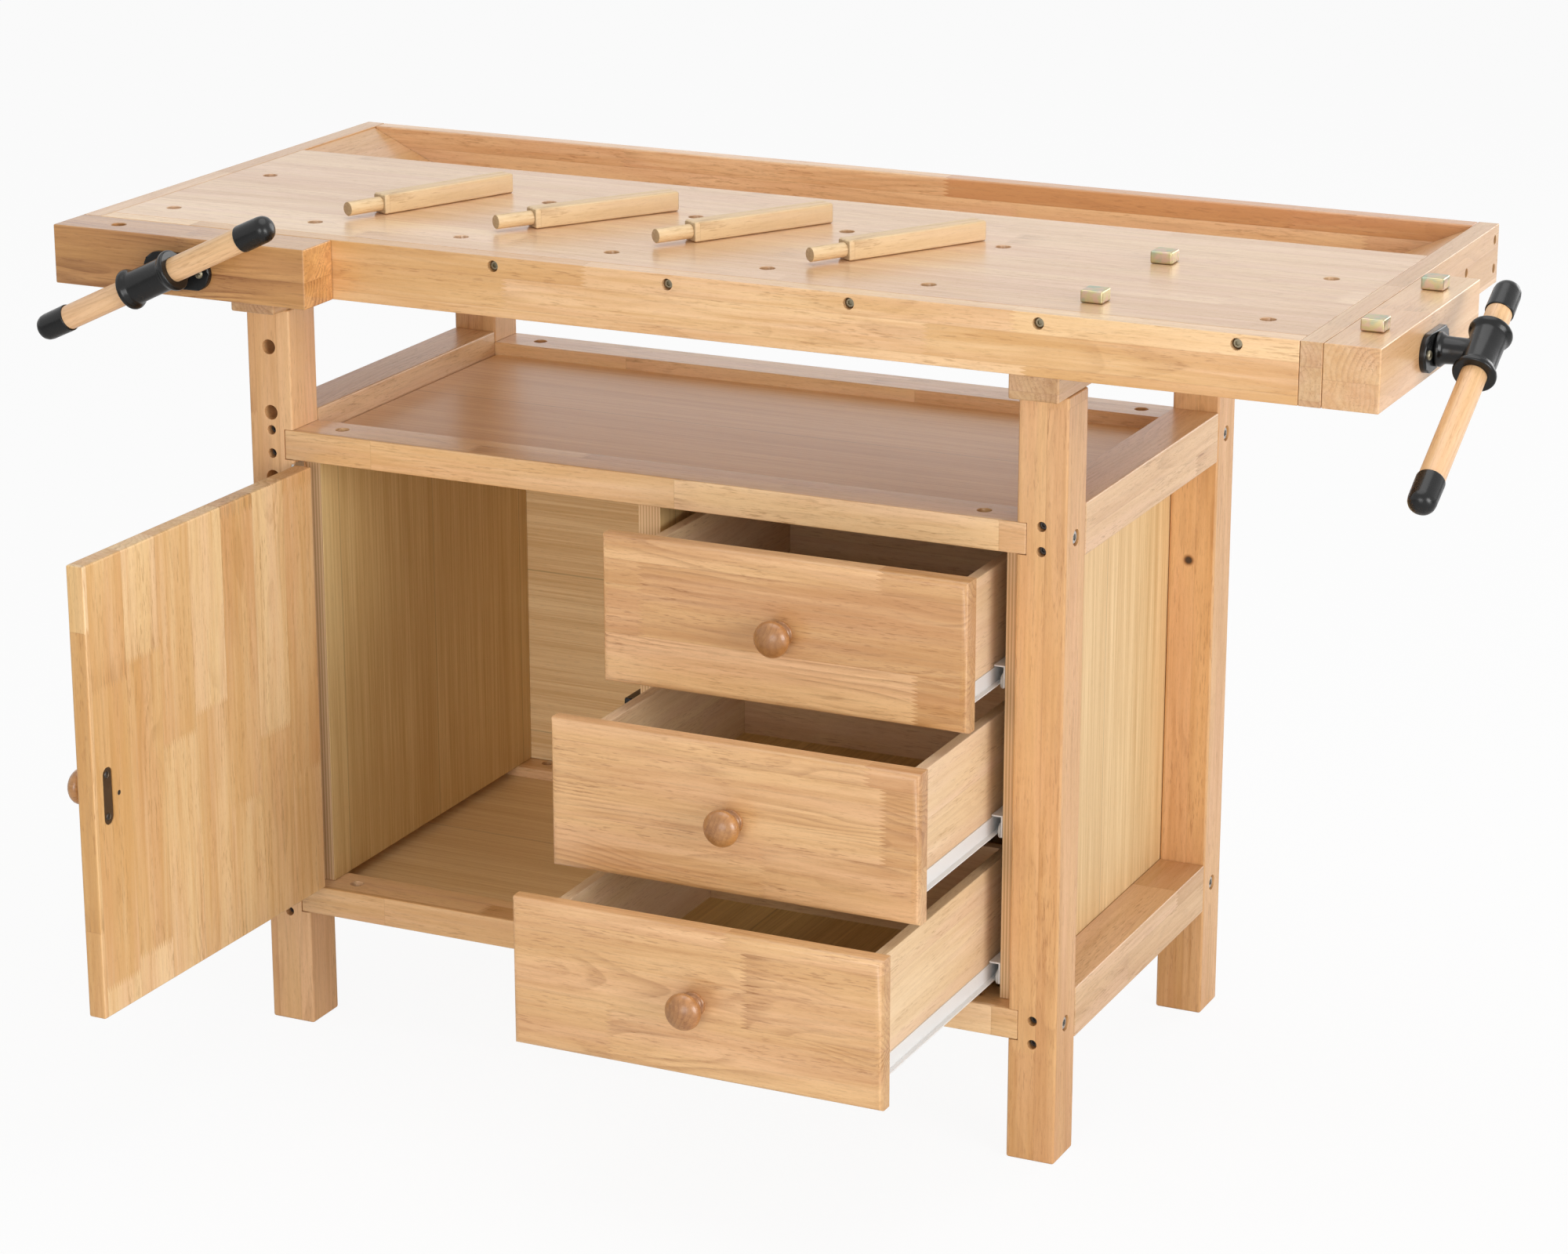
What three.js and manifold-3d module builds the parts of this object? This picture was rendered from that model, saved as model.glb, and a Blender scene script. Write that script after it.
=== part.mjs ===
import * as THREE from 'three';
import { mergeVertices } from 'three/addons/utils/BufferGeometryUtils.js';
import Module from 'manifold-3d';

const wasm = await Module();
wasm.setup();

// All lengths are millimetres and all angles are degrees.
// X runs along the bench, Y from the front to the back, Z up from the floor.
// X = 0 is midway between the legs and Y = 0 is the front face of the front legs.

// Working top
const benchHeight = 860;
const topLength = 1300;
const topDepth = 560;
const topLeftOverhang = 156;
const topFrontOverhang = 49;
const slabThickness = 20;
const edgeThickness = 21;
const skirtHeight = 59.5;
const trayWidth = 153;
const trayFloorRise = 5.5;
const trayFloorThickness = 6;
const grooveDepth = 6;
const rampRun = 100;
const rampTopDrop = 2;

// Base frame
const baseLength = 888;
const baseDepth = 472;
const legSection = 50;
const bearerHeight = 69;
const longRailHeight = 31;
const longRailHousing = 10;
const endRailHeight = 52;
const endRailDrop = 9;
const lowerRailBottom = 125;
const upperRailDrop = 124.5;

// Cupboard panels
const panelThickness = 12;
const shelfStep = 13.5;
const bottomStep = 11.5;
const sidePanelThickness = 18;
const dividerThickness = 24;
const dividerLap = 19;
const cabinetSetback = 22;
const backPanelThickness = 9;
const backPanelSetback = 9;

// Door
const doorWidth = 396;
const frontThickness = 19;
const hingeGap = 3;
const doorTopGap = 3;
const doorOpenAngle = 91;
const hingePinRadius = 2.5;
const hingePinForward = 2.5;
const hingeLeafThickness = 1.2;
const hingeLeafDepth = 17;
const doorKnobInset = 36;
const doorKnobHeight = 380;

// Drawers, from the bottom one up
const drawerNames = ['bottom', 'middle', 'top'];
const drawerPulls = [293.5, 212, 103];
const drawerFrontGap = 4;
const drawerBottomGap = 7;
const drawerTopGap = 1.2;
const drawerRightGap = 5;
const drawerDepth = 363;
const drawerBoard = 12;
const drawerFloorThickness = 6;
const drawerFloorRise = 9;
const drawerBottomRise = 8;
const drawerTopDrop = 22;
const runnerRoom = 13;
const runnerWall = 1.5;
const runnerHeight = 22;
const runnerBackGap = 16.5;
const runnerFloat = 1.5;
const runnerRise = 0.5;

// Turned knobs
const knobRadius = 18;
const knobLength = 32;
const knobNeckRadius = 8.5;
const knobFootFlare = 3;

// Vises
const screwDrop = 33;
const jawThickness = 53;
const frontScrewX = -454;
const frontJawRight = -311;
const endScrewY = 105;
const endJawBack = 259.5;
const plateHalfSpread = 20;
const plateRadius = 18;
const plateThickness = 6;
const guideSpread = 30;
const guideRadius = 7;
const screwRadius = 9;
const neckRadius = 13;
const bossReach = 48;
const bossRadius = 16.5;
const bossLength = 60;
const collarRadius = 20.5;
const collarLength = 8;
const handleLength = 300;
const handleRadius = 12.3;
const handleCapRadius = 13.6;
const handleCapLength = 38;
const handleCapTaper = 1;
const handleCapRound = 9;
const frontHandleTilt = 25.5;
const frontHandleSlide = 3.4;
const endHandleTilt = 29;
const endHandleSlide = -56.4;
const viseTravel = 150;
const screwTail = 20;

// Bench dogs, their holes and the loose pegs
const dogHoleRadius = 7.5;
const dogPitch = 166.1;
const dogEndMargin = 30;
const dogBearerGap = 16.6;
const frontDogRow = 17.6;
const rearDogRow = 201;
const dogHeadWidth = 22;
const dogHeadHeight = 12;
const dogShankLength = 45;
const frontJawDogInset = 60;
const legHoleTopDrop = 40;
const legHolePitch = 68;
const legHoleCount = 3;
const legHoleDepth = 35;
const pegWidth = 20;
const pegLength = 165;
const pegTenonLength = 40;
const pegShoulders = [79.6, 84, 93.1, 80.1];
const pegSpacing = 170.5;
const firstPegX = -332;
const pegTurns = [-22.5, -32.7, -30.2, -29.9];

// Clearances: between pieces that touch, between pieces that slide in a bore, and round a dog in its hole
const fitGap = 0.3;
const runGap = 0.5;
const dogClearance = 0.3;

// How far a cutting body runs past the face it cuts, and how far joined bodies reach into each other
const cutMargin = 1;

// Places that follow from the sizes above
const legOuter = baseLength / 2;
const legInner = legOuter - legSection;
const rearLegFront = baseDepth - legSection;
const topLeft = -legOuter - topLeftOverhang;
const topRight = topLeft + topLength;
const topFront = -topFrontOverhang;
const topBack = topFront + topDepth;
const slabLeft = topLeft + edgeThickness + fitGap;
const slabRight = topRight - edgeThickness - fitGap;
const slabFront = topFront + edgeThickness + fitGap;
const slabBottom = benchHeight - slabThickness;
const skirtBottom = benchHeight - skirtHeight;
const trayBack = topBack - edgeThickness;
const trayFront = trayBack - trayWidth;
const trayFloorBottom = skirtBottom + trayFloorRise;
const trayFloorTop = trayFloorBottom + trayFloorThickness;
const lipFront = trayFront - edgeThickness;
const legHeight = slabBottom - bearerHeight;
const lowerRailTop = lowerRailBottom + longRailHeight;
const upperRailTop = legHeight - upperRailDrop;
const upperRailBottom = upperRailTop - longRailHeight;
const openingHeight = upperRailBottom - lowerRailTop;
const sideInner = legInner - sidePanelThickness;
const panelBack = baseDepth - backPanelSetback - backPanelThickness - fitGap;
const screwHeight = benchHeight - screwDrop;
const doorLeft = -legInner + hingeGap;
const doorRight = doorLeft + doorWidth;
const dividerLeft = doorRight - dividerLap;
const bayLeft = dividerLeft + dividerThickness;
const pinX = -legInner + hingeGap / 2;
const pinY = -hingePinForward;
const tunnelEnd = edgeThickness + viseTravel + screwTail;
const dogRows = [frontDogRow, rearDogRow];
const dogShankRadius = dogHoleRadius - dogClearance;
const slabDogX = legOuter + dogBearerGap;

const finishes = {
  timber: { color: 0xdcb988, roughness: 0.55, metalness: 0 },
  timberDark: { color: 0xc99f68, roughness: 0.55, metalness: 0 },
  sheet: { color: 0xe2c79c, roughness: 0.6, metalness: 0 },
  casting: { color: 0x1c1d1f, roughness: 0.45, metalness: 0.2 },
  zinc: { color: 0xc9a94f, roughness: 0.35, metalness: 1 },
  steel: { color: 0xb9bcc0, roughness: 0.35, metalness: 1 },
  enamel: { color: 0xe9e9e6, roughness: 0.4, metalness: 0 },
};

// A closed geometry becomes a body that can be joined to others and cut.
function body(geometry) {
  const bare = geometry.clone();
  bare.deleteAttribute('normal');
  bare.deleteAttribute('uv');
  const welded = mergeVertices(bare, 1e-4);
  return new wasm.Manifold(new wasm.Mesh({
    numProp: 3,
    vertProperties: new Float32Array(welded.attributes.position.array),
    triVerts: new Uint32Array(welded.index.array),
  }));
}

function surface(solid) {
  const mesh = solid.getMesh();
  const geometry = new THREE.BufferGeometry();
  geometry.setAttribute('position', new THREE.BufferAttribute(mesh.vertProperties, 3));
  geometry.setIndex(new THREE.BufferAttribute(mesh.triVerts, 1));
  geometry.computeVertexNormals();
  return geometry;
}

function join(...geometries) {
  return surface(geometries.map(body).reduce((whole, next) => whole.add(next)));
}

function cut(geometry, ...tools) {
  return surface(tools.map(body).reduce((whole, tool) => whole.subtract(tool), body(geometry)));
}

// A block between two limits on each axis.
function block([x0, x1], [y0, y1], [z0, z1]) {
  const geometry = new THREE.BoxGeometry(x1 - x0, y1 - y0, z1 - z0);
  return geometry.translate((x0 + x1) / 2, (y0 + y1) / 2, (z0 + z1) / 2);
}

// A round bar from one point to another.
function bar(radius, start, end, sides = 16) {
  const from = new THREE.Vector3(...start);
  const along = new THREE.Vector3(...end).sub(from);
  const geometry = new THREE.CylinderGeometry(radius, radius, along.length(), sides);
  geometry.translate(0, along.length() / 2, 0);
  const turn = new THREE.Quaternion().setFromUnitVectors(new THREE.Vector3(0, 1, 0), along.normalize());
  return geometry.applyQuaternion(turn).translate(from.x, from.y, from.z);
}

// A profile of [radius, distance] pairs turned about its axis, which leaves start in the given direction.
function turned(profile, start, direction, sides = 18) {
  const points = profile.map(([radius, distance]) => new THREE.Vector2(radius, distance));
  const geometry = new THREE.LatheGeometry(points, sides);
  const way = new THREE.Vector3(...direction).normalize();
  const turn = new THREE.Quaternion().setFromUnitVectors(new THREE.Vector3(0, 1, 0), way);
  return geometry.applyQuaternion(turn).translate(...start);
}

// An outline of [x, z] points, drawn out along Y between two limits.
function profileAlongY(outline, [y0, y1]) {
  const shape = new THREE.Shape(outline.map(([x, z]) => new THREE.Vector2(x, z)));
  const geometry = new THREE.ExtrudeGeometry(shape, { depth: y1 - y0, bevelEnabled: false });
  return geometry.rotateX(Math.PI / 2).translate(0, y1, 0);
}

function piece(name, geometry, finish) {
  const mesh = new THREE.Mesh(surface(body(geometry)), new THREE.MeshStandardMaterial(finishes[finish]));
  mesh.name = name;
  return mesh;
}

function group(name, ...children) {
  const whole = new THREE.Group();
  whole.name = name;
  whole.add(...children);
  return whole;
}

// Where each vise sits: its local X runs along the jaw, and its screw comes out along local -Y.
const frontVisePlace = new THREE.Matrix4().makeTranslation(frontScrewX, topFront, 0);
const endVisePlace = new THREE.Matrix4().makeTranslation(topRight, endScrewY, 0)
  .multiply(new THREE.Matrix4().makeRotationZ(Math.PI / 2));

// The bores that a vise's screw and guide bars need in the bench behind its jaw.
function viseTunnels(place) {
  return [-guideSpread, 0, guideSpread].map((x) => {
    const radius = x === 0 ? screwRadius : guideRadius;
    const front = [x, -cutMargin, screwHeight];
    const back = [x, tunnelEnd + cutMargin, screwHeight];
    return bar(radius + runGap, front, back).applyMatrix4(place);
  });
}

// Legs: each one is housed for the long rails, and the left front one is bored for pegs.
function leg(name, side, front) {
  const across = side < 0 ? [-legOuter, -legInner] : [legInner, legOuter];
  const deep = front ? [0, legSection] : [rearLegFront, baseDepth];
  const inner = side * (legInner + longRailHousing + fitGap);
  const mouth = side * (legInner - cutMargin);
  const housings = [lowerRailBottom, upperRailBottom].map((bottom) => block(
    [Math.min(inner, mouth), Math.max(inner, mouth)],
    [deep[0] - cutMargin, deep[1] + cutMargin],
    [bottom - fitGap, bottom + longRailHeight + fitGap],
  ));
  const pegHoles = side < 0 && front ? Array.from({ length: legHoleCount }, (_, number) => {
    const height = legHeight - legHoleTopDrop - number * legHolePitch;
    const middle = (across[0] + across[1]) / 2;
    return bar(dogHoleRadius, [middle, -cutMargin, height], [middle, legHoleDepth, height]);
  }) : [];
  return piece(name, cut(block(across, deep, [0, legHeight]), ...housings, ...pegHoles), 'timber');
}

// Long rails run between the legs and are grooved on the inside for a thin panel.
function longRail(name, front, bottom, panelBottom) {
  const end = legInner + longRailHousing;
  const deep = front ? [0, legSection] : [rearLegFront, baseDepth];
  const face = front ? legSection : rearLegFront;
  const root = front ? face - grooveDepth : face + grooveDepth;
  const groove = block(
    [-end - cutMargin, end + cutMargin],
    front ? [root, face + cutMargin] : [face - cutMargin, root],
    [panelBottom - fitGap, panelBottom + panelThickness + fitGap],
  );
  const rail = block([-end, end], deep, [bottom, bottom + longRailHeight]);
  return piece(name, cut(rail, groove), 'timber');
}

function endRail(name, side, bottom) {
  const across = side < 0 ? [-legOuter, -legInner] : [legInner, legOuter];
  const deep = [legSection + fitGap, rearLegFront - fitGap];
  return piece(name, block(across, deep, [bottom, bottom + endRailHeight]), 'timber');
}

// Bearers join the legs to the top and step down under the tool tray.
function bearer(name, side, tunnels) {
  const across = side < 0 ? [-legOuter, -legInner] : [legInner, legOuter];
  const deep = [slabFront, trayBack - fitGap];
  const high = [legHeight + fitGap, slabBottom - fitGap];
  const step = block(
    [across[0] - cutMargin, across[1] + cutMargin],
    [lipFront - fitGap, deep[1] + cutMargin],
    [trayFloorBottom - fitGap, high[1] + cutMargin],
  );
  return piece(name, cut(block(across, deep, high), step, ...tunnels), 'timber');
}

const shelfBottom = upperRailTop - shelfStep - panelThickness;
const bottomPanelBottom = lowerRailTop - bottomStep - panelThickness;
const groovedPanelDepth = [
  legSection - grooveDepth + fitGap,
  rearLegFront + grooveDepth - fitGap,
];
const betweenLegs = [-legInner + fitGap, legInner - fitGap];
const betweenRails = [lowerRailTop + fitGap, upperRailBottom - fitGap];
const casedDepth = [cabinetSetback, panelBack];

const base = group(
  'base',
  leg('leg_front_left', -1, true),
  leg('leg_front_right', 1, true),
  leg('leg_rear_left', -1, false),
  leg('leg_rear_right', 1, false),
  longRail('long_rail_upper_front', true, upperRailBottom, shelfBottom),
  longRail('long_rail_upper_rear', false, upperRailBottom, shelfBottom),
  longRail('long_rail_lower_front', true, lowerRailBottom, bottomPanelBottom),
  longRail('long_rail_lower_rear', false, lowerRailBottom, bottomPanelBottom),
  endRail('end_rail_upper_left', -1, upperRailBottom - endRailDrop),
  endRail('end_rail_upper_right', 1, upperRailBottom - endRailDrop),
  endRail('end_rail_lower_left', -1, lowerRailBottom - endRailDrop),
  endRail('end_rail_lower_right', 1, lowerRailBottom - endRailDrop),
  bearer('bearer_left', -1, viseTunnels(frontVisePlace)),
  bearer('bearer_right', 1, viseTunnels(endVisePlace)),
  piece('shelf_panel', block(
    betweenLegs,
    groovedPanelDepth,
    [shelfBottom, shelfBottom + panelThickness],
  ), 'sheet'),
  piece('bottom_panel', block(
    betweenLegs,
    groovedPanelDepth,
    [bottomPanelBottom, bottomPanelBottom + panelThickness],
  ), 'sheet'),
  piece('side_panel_left', block([-legInner + fitGap, -sideInner], casedDepth, betweenRails), 'sheet'),
  piece('side_panel_right', block([sideInner, legInner - fitGap], casedDepth, betweenRails), 'sheet'),
  piece('divider_panel', block([dividerLeft, bayLeft], casedDepth, betweenRails), 'sheet'),
  piece('back_panel', block(
    betweenLegs,
    [panelBack + fitGap, panelBack + fitGap + backPanelThickness],
    betweenRails,
  ), 'sheet'),
);

// The slab has rows of dog holes, and a lip glued under its back edge that closes the tray.
const columnsLeft = Math.floor((slabDogX - slabLeft - dogEndMargin) / dogPitch);
const columnsRight = Math.floor((slabRight - dogEndMargin - slabDogX) / dogPitch);
const columnCount = columnsLeft + columnsRight + 1;
const dogHoles = dogRows.flatMap((y) => Array.from({ length: columnCount }, (_, column) => {
  const x = slabDogX + (column - columnsLeft) * dogPitch;
  return bar(dogHoleRadius, [x, y, slabBottom - cutMargin], [x, y, benchHeight + cutMargin]);
}));
const slabBack = trayFront - fitGap;
const slab = join(
  block([slabLeft, slabRight], [slabFront, slabBack], [slabBottom, benchHeight]),
  block([slabLeft, slabRight], [lipFront, slabBack], [trayFloorTop + fitGap, slabBottom + cutMargin]),
);

// Each end cap carries the ramp at its end of the tray and is grooved for the tray floor.
function endCap(name, side, tunnels) {
  const outer = side < 0 ? topLeft : topRight;
  const inner = outer - side * edgeThickness;
  const cap = block(
    [Math.min(outer, inner), Math.max(outer, inner)],
    [topFront, topBack],
    [skirtBottom, benchHeight],
  );
  const foot = trayFloorTop + fitGap;
  const outline = [
    [inner + side * cutMargin, foot],
    [inner - side * rampRun, foot],
    [inner, benchHeight - rampTopDrop],
    [inner + side * cutMargin, benchHeight - rampTopDrop],
  ];
  const ramp = profileAlongY(side < 0 ? outline : outline.reverse(), [trayFront + fitGap, trayBack - fitGap]);
  const root = inner + side * grooveDepth;
  const groove = block(
    [Math.min(inner - side * cutMargin, root), Math.max(inner - side * cutMargin, root)],
    [lipFront - fitGap, trayBack + grooveDepth],
    [trayFloorBottom - fitGap, foot],
  );
  return piece(name, cut(join(cap, ramp), groove, ...tunnels), 'timberDark');
}

const top = group(
  'top',
  piece('top_slab', cut(slab, ...dogHoles), 'timber'),
  piece('front_apron', cut(
    block([slabLeft, slabRight], [topFront, topFront + edgeThickness], [skirtBottom, benchHeight]),
    ...viseTunnels(frontVisePlace),
  ), 'timberDark'),
  endCap('end_cap_left', -1, []),
  endCap('end_cap_right', 1, viseTunnels(endVisePlace)),
  piece('tray_rear_rail', cut(
    block([slabLeft, slabRight], [trayBack, topBack], [skirtBottom, benchHeight]),
    block(
      [slabLeft - cutMargin, slabRight + cutMargin],
      [trayBack - cutMargin, trayBack + grooveDepth],
      [trayFloorBottom - fitGap, trayFloorTop + fitGap],
    ),
  ), 'timberDark'),
  piece('tray_floor', block(
    [topLeft + edgeThickness - grooveDepth + fitGap, topRight - edgeThickness + grooveDepth - fitGap],
    [lipFront, trayBack + grooveDepth - fitGap],
    [trayFloorBottom, trayFloorTop],
  ), 'sheet'),
);

// A vise in its own frame: the jaw, a plate cast with two guide bars, the screw, and a sliding handle.
function vise(name, place, jaw, dogs, tilt, slide) {
  const jawBack = -fitGap;
  const jawFront = jawBack - jawThickness;
  const plateBack = jawFront - fitGap;
  const plateFront = plateBack - plateThickness;
  const bossY = jawFront - bossReach;
  const tail = edgeThickness + viseTravel;
  const axisPoint = (x, y) => [x, y, screwHeight];
  const jawBores = [-guideSpread, 0, guideSpread].map((x) => bar(
    (x === 0 ? screwRadius : guideRadius) + runGap,
    axisPoint(x, jawFront - cutMargin),
    axisPoint(x, cutMargin),
  ));
  const jawHoles = dogs.map((x) => {
    const middle = (jawBack + jawFront) / 2;
    return bar(dogHoleRadius, [x, middle, skirtBottom - cutMargin], [x, middle, benchHeight + cutMargin]);
  });
  const jawBlock = block(jaw, [jawFront, jawBack], [skirtBottom, benchHeight]);
  const plate = join(
    block(
      [-plateHalfSpread, plateHalfSpread],
      [plateFront, plateBack],
      [screwHeight - plateRadius, screwHeight + plateRadius],
    ),
    ...[-1, 1].map((side) => bar(
      plateRadius,
      axisPoint(side * plateHalfSpread, plateFront),
      axisPoint(side * plateHalfSpread, plateBack),
      20,
    )),
    ...[-1, 1].map((side) => bar(
      guideRadius,
      axisPoint(side * guideSpread, plateBack - cutMargin),
      axisPoint(side * guideSpread, tail),
    )),
  );
  const plateBore = bar(
    neckRadius + runGap,
    axisPoint(0, plateFront - cutMargin),
    axisPoint(0, plateBack + cutMargin),
  );
  const along = [Math.cos(THREE.MathUtils.degToRad(tilt)), 0, Math.sin(THREE.MathUtils.degToRad(tilt))];
  const onHandle = (distance) => [along[0] * distance, bossY, screwHeight + along[2] * distance];
  const screw = cut(
    join(
      bar(screwRadius, axisPoint(0, bossY), axisPoint(0, tail + screwTail / 2)),
      bar(neckRadius, axisPoint(0, bossY), axisPoint(0, plateBack - fitGap)),
      bar(bossRadius, onHandle(-bossLength / 2), onHandle(bossLength / 2), 20),
      ...[-1, 1].map((side) => bar(
        collarRadius,
        onHandle(side * (bossLength / 2 - collarLength)),
        onHandle(side * bossLength / 2),
        20,
      )),
    ),
    bar(handleRadius + runGap, onHandle(-bossLength), onHandle(bossLength)),
  );
  const half = handleLength / 2;
  const capStart = half - handleCapLength;
  const handleHalf = [
    [handleRadius, capStart],
    [handleCapRadius - handleCapTaper, capStart + handleCapTaper],
    ...[0, 30, 60, 90].map((angle) => {
      const rise = THREE.MathUtils.degToRad(angle);
      const reach = half - handleCapRound + handleCapRound * Math.sin(rise);
      return [angle === 90 ? 0 : handleCapRadius * Math.cos(rise), reach];
    }),
  ];
  const handleProfile = [
    ...handleHalf.map(([radius, distance]) => [radius, -distance]).reverse(),
    ...handleHalf,
  ];
  const whole = group(
    name,
    piece(`${name}_jaw`, cut(jawBlock, ...jawBores, ...jawHoles), 'timberDark'),
    piece(`${name}_guide`, cut(plate, plateBore), 'casting'),
    piece(`${name}_screw`, screw, 'casting'),
    piece(`${name}_handle`, turned(handleProfile, onHandle(slide), along, 16), 'timber'),
  );
  whole.applyMatrix4(place);
  return whole;
}

const frontVise = vise(
  'front_vise',
  frontVisePlace,
  [topLeft - frontScrewX, frontJawRight - frontScrewX],
  [topLeft + frontJawDogInset - frontScrewX],
  frontHandleTilt,
  frontHandleSlide,
);
const endVise = vise(
  'end_vise',
  endVisePlace,
  [topFront - endScrewY, endJawBack - endScrewY],
  dogRows.map((y) => y - endScrewY),
  endHandleTilt,
  endHandleSlide,
);

// Bench dogs: a square head on a round shank that drops into any dog hole.
function dog(name, x, y) {
  const half = dogHeadWidth / 2;
  const seat = benchHeight + fitGap;
  return piece(name, join(
    block([x - half, x + half], [y - half, y + half], [seat, seat + dogHeadHeight]),
    bar(dogShankRadius, [x, y, seat - dogShankLength], [x, y, seat + cutMargin]),
  ), 'zinc');
}

const endJawMiddle = topRight + fitGap + jawThickness / 2;
const dogs = group(
  'dogs',
  dog('dog_slab_front', slabDogX, frontDogRow),
  dog('dog_slab_rear', slabDogX, rearDogRow),
  dog('dog_jaw_front', endJawMiddle, frontDogRow),
  dog('dog_jaw_rear', endJawMiddle, rearDogRow),
);

// Loose pegs: a square bar with a round tenon, lying on the slab.
const pegs = group('pegs', ...pegTurns.map((turn, number) => {
  const half = pegWidth / 2;
  const peg = piece(`peg_${number + 1}`, join(
    block([-half, half], [0, pegLength], [-half, half]),
    bar(dogShankRadius, [0, -pegTenonLength, 0], [0, cutMargin, 0]),
  ), 'timber');
  peg.position.set(firstPegX + number * pegSpacing, pegShoulders[number], benchHeight + fitGap + half);
  peg.rotation.z = THREE.MathUtils.degToRad(turn);
  return peg;
}));

// A turned knob that leaves a vertical front face toward the user.
function knob(name, x, y, z) {
  return piece(name, turned([
    [0, 0],
    [knobNeckRadius + knobFootFlare, 0],
    [knobNeckRadius + knobFootFlare / 3, knobLength * 0.14],
    [knobNeckRadius, knobLength * 0.3],
    [knobRadius * 0.8, knobLength * 0.48],
    [knobRadius, knobLength * 0.66],
    [knobRadius * 0.97, knobLength * 0.8],
    [knobRadius * 0.75, knobLength * 0.93],
    [knobRadius * 0.35, knobLength * 0.99],
    [0, knobLength],
  ], [x, y - fitGap, z], [0, -1, 0]), 'timber');
}

// Door: drawn shut in the cupboard opening, then swung open about the hinge pin.
const doorHigh = [lowerRailTop + doorTopGap, upperRailBottom - doorTopGap];
const door = group(
  'door',
  piece('door_panel', block([doorLeft, doorRight], [fitGap, frontThickness + fitGap], doorHigh), 'sheet'),
  knob('door_knob', doorRight - doorKnobInset, fitGap, doorKnobHeight),
);
door.children.forEach((child) => child.geometry.translate(-pinX, -pinY, 0));
door.position.set(pinX, pinY, 0);
door.rotation.z = THREE.MathUtils.degToRad(-doorOpenAngle);
const leafLeft = -legInner + fitGap;
const hinge = piece('door_hinge', join(
  block([leafLeft, leafLeft + hingeLeafThickness], [pinY, hingeLeafDepth], doorHigh),
  bar(hingePinRadius, [pinX, pinY, doorHigh[0]], [pinX, pinY, doorHigh[1]], 12),
), 'steel');

// Drawers: drawn shut one above the other, then pulled out.
const frontGaps = drawerBottomGap + drawerTopGap + drawerFrontGap * (drawerNames.length - 1);
const frontHeight = (openingHeight - frontGaps) / drawerNames.length;
const frontLeft = doorRight + drawerFrontGap;
const frontRight = legInner - drawerRightGap;
const boxLeft = bayLeft + runnerRoom;
const boxRight = sideInner - runnerRoom;
const boxFront = frontThickness + fitGap;

function drawer(label, number) {
  const bottom = lowerRailTop + drawerBottomGap + number * (frontHeight + drawerFrontGap);
  const boxBottom = bottom + drawerBottomRise;
  const boxTop = bottom + frontHeight - drawerTopDrop;
  const inside = [
    [boxLeft + drawerBoard, boxRight - drawerBoard],
    [boxFront + drawerBoard, boxFront + drawerDepth - drawerBoard],
  ];
  const floorBottom = boxBottom + drawerFloorRise;
  const box = cut(
    block([boxLeft, boxRight], [boxFront, boxFront + drawerDepth], [boxBottom, boxTop]),
    block(...inside, [floorBottom + drawerFloorThickness, boxTop + cutMargin]),
    block(...inside, [boxBottom - cutMargin, floorBottom]),
  );
  const whole = group(
    `drawer_${label}`,
    piece(`drawer_front_${label}`, block(
      [frontLeft, frontRight],
      [0, frontThickness],
      [bottom, bottom + frontHeight],
    ), 'sheet'),
    piece(`drawer_box_${label}`, box, 'sheet'),
    knob(`drawer_knob_${label}`, (frontLeft + frontRight) / 2, 0, bottom + frontHeight / 2),
  );
  whole.position.y = -drawerPulls[number];
  return whole;
}

// Channel runners screwed to the divider and to the right side panel, open toward the drawer.
function runner(label, number, side) {
  const bottom = lowerRailTop + drawerBottomGap + number * (frontHeight + drawerFrontGap);
  const wall = side < 0 ? bayLeft + fitGap : sideInner - fitGap;
  const mouth = side < 0 ? boxLeft - runnerFloat : boxRight + runnerFloat;
  const low = bottom + drawerBottomRise - runnerRise;
  const high = low + runnerHeight;
  const web = wall - side * runnerWall;
  const outline = [
    [wall, low],
    [mouth, low],
    [mouth, low + runnerWall],
    [web, low + runnerWall],
    [web, high - runnerWall],
    [mouth, high - runnerWall],
    [mouth, high],
    [wall, high],
  ];
  const length = [cabinetSetback + fitGap, panelBack - runnerBackGap];
  return piece(
    `runner_${label}_${side < 0 ? 'left' : 'right'}`,
    profileAlongY(side < 0 ? outline : outline.reverse(), length),
    'enamel',
  );
}

const drawers = group('drawers', ...drawerNames.map(drawer));
const runners = group('runners', ...drawerNames.flatMap((label, number) => [
  runner(label, number, -1),
  runner(label, number, 1),
]));

const bench = group('workbench', base, top, frontVise, endVise, dogs, pegs, door, hinge, drawers, runners);
bench.updateMatrixWorld(true);

// The origin is the middle of the footprint at floor level.
const bounds = new THREE.Box3().setFromObject(bench, true);
bench.position.set(-(bounds.min.x + bounds.max.x) / 2, -(bounds.min.y + bounds.max.y) / 2, -bounds.min.z);
bench.updateMatrixWorld(true);

export default bench;
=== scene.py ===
import math

import bmesh
import bpy
from mathutils import Matrix, Vector


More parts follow.
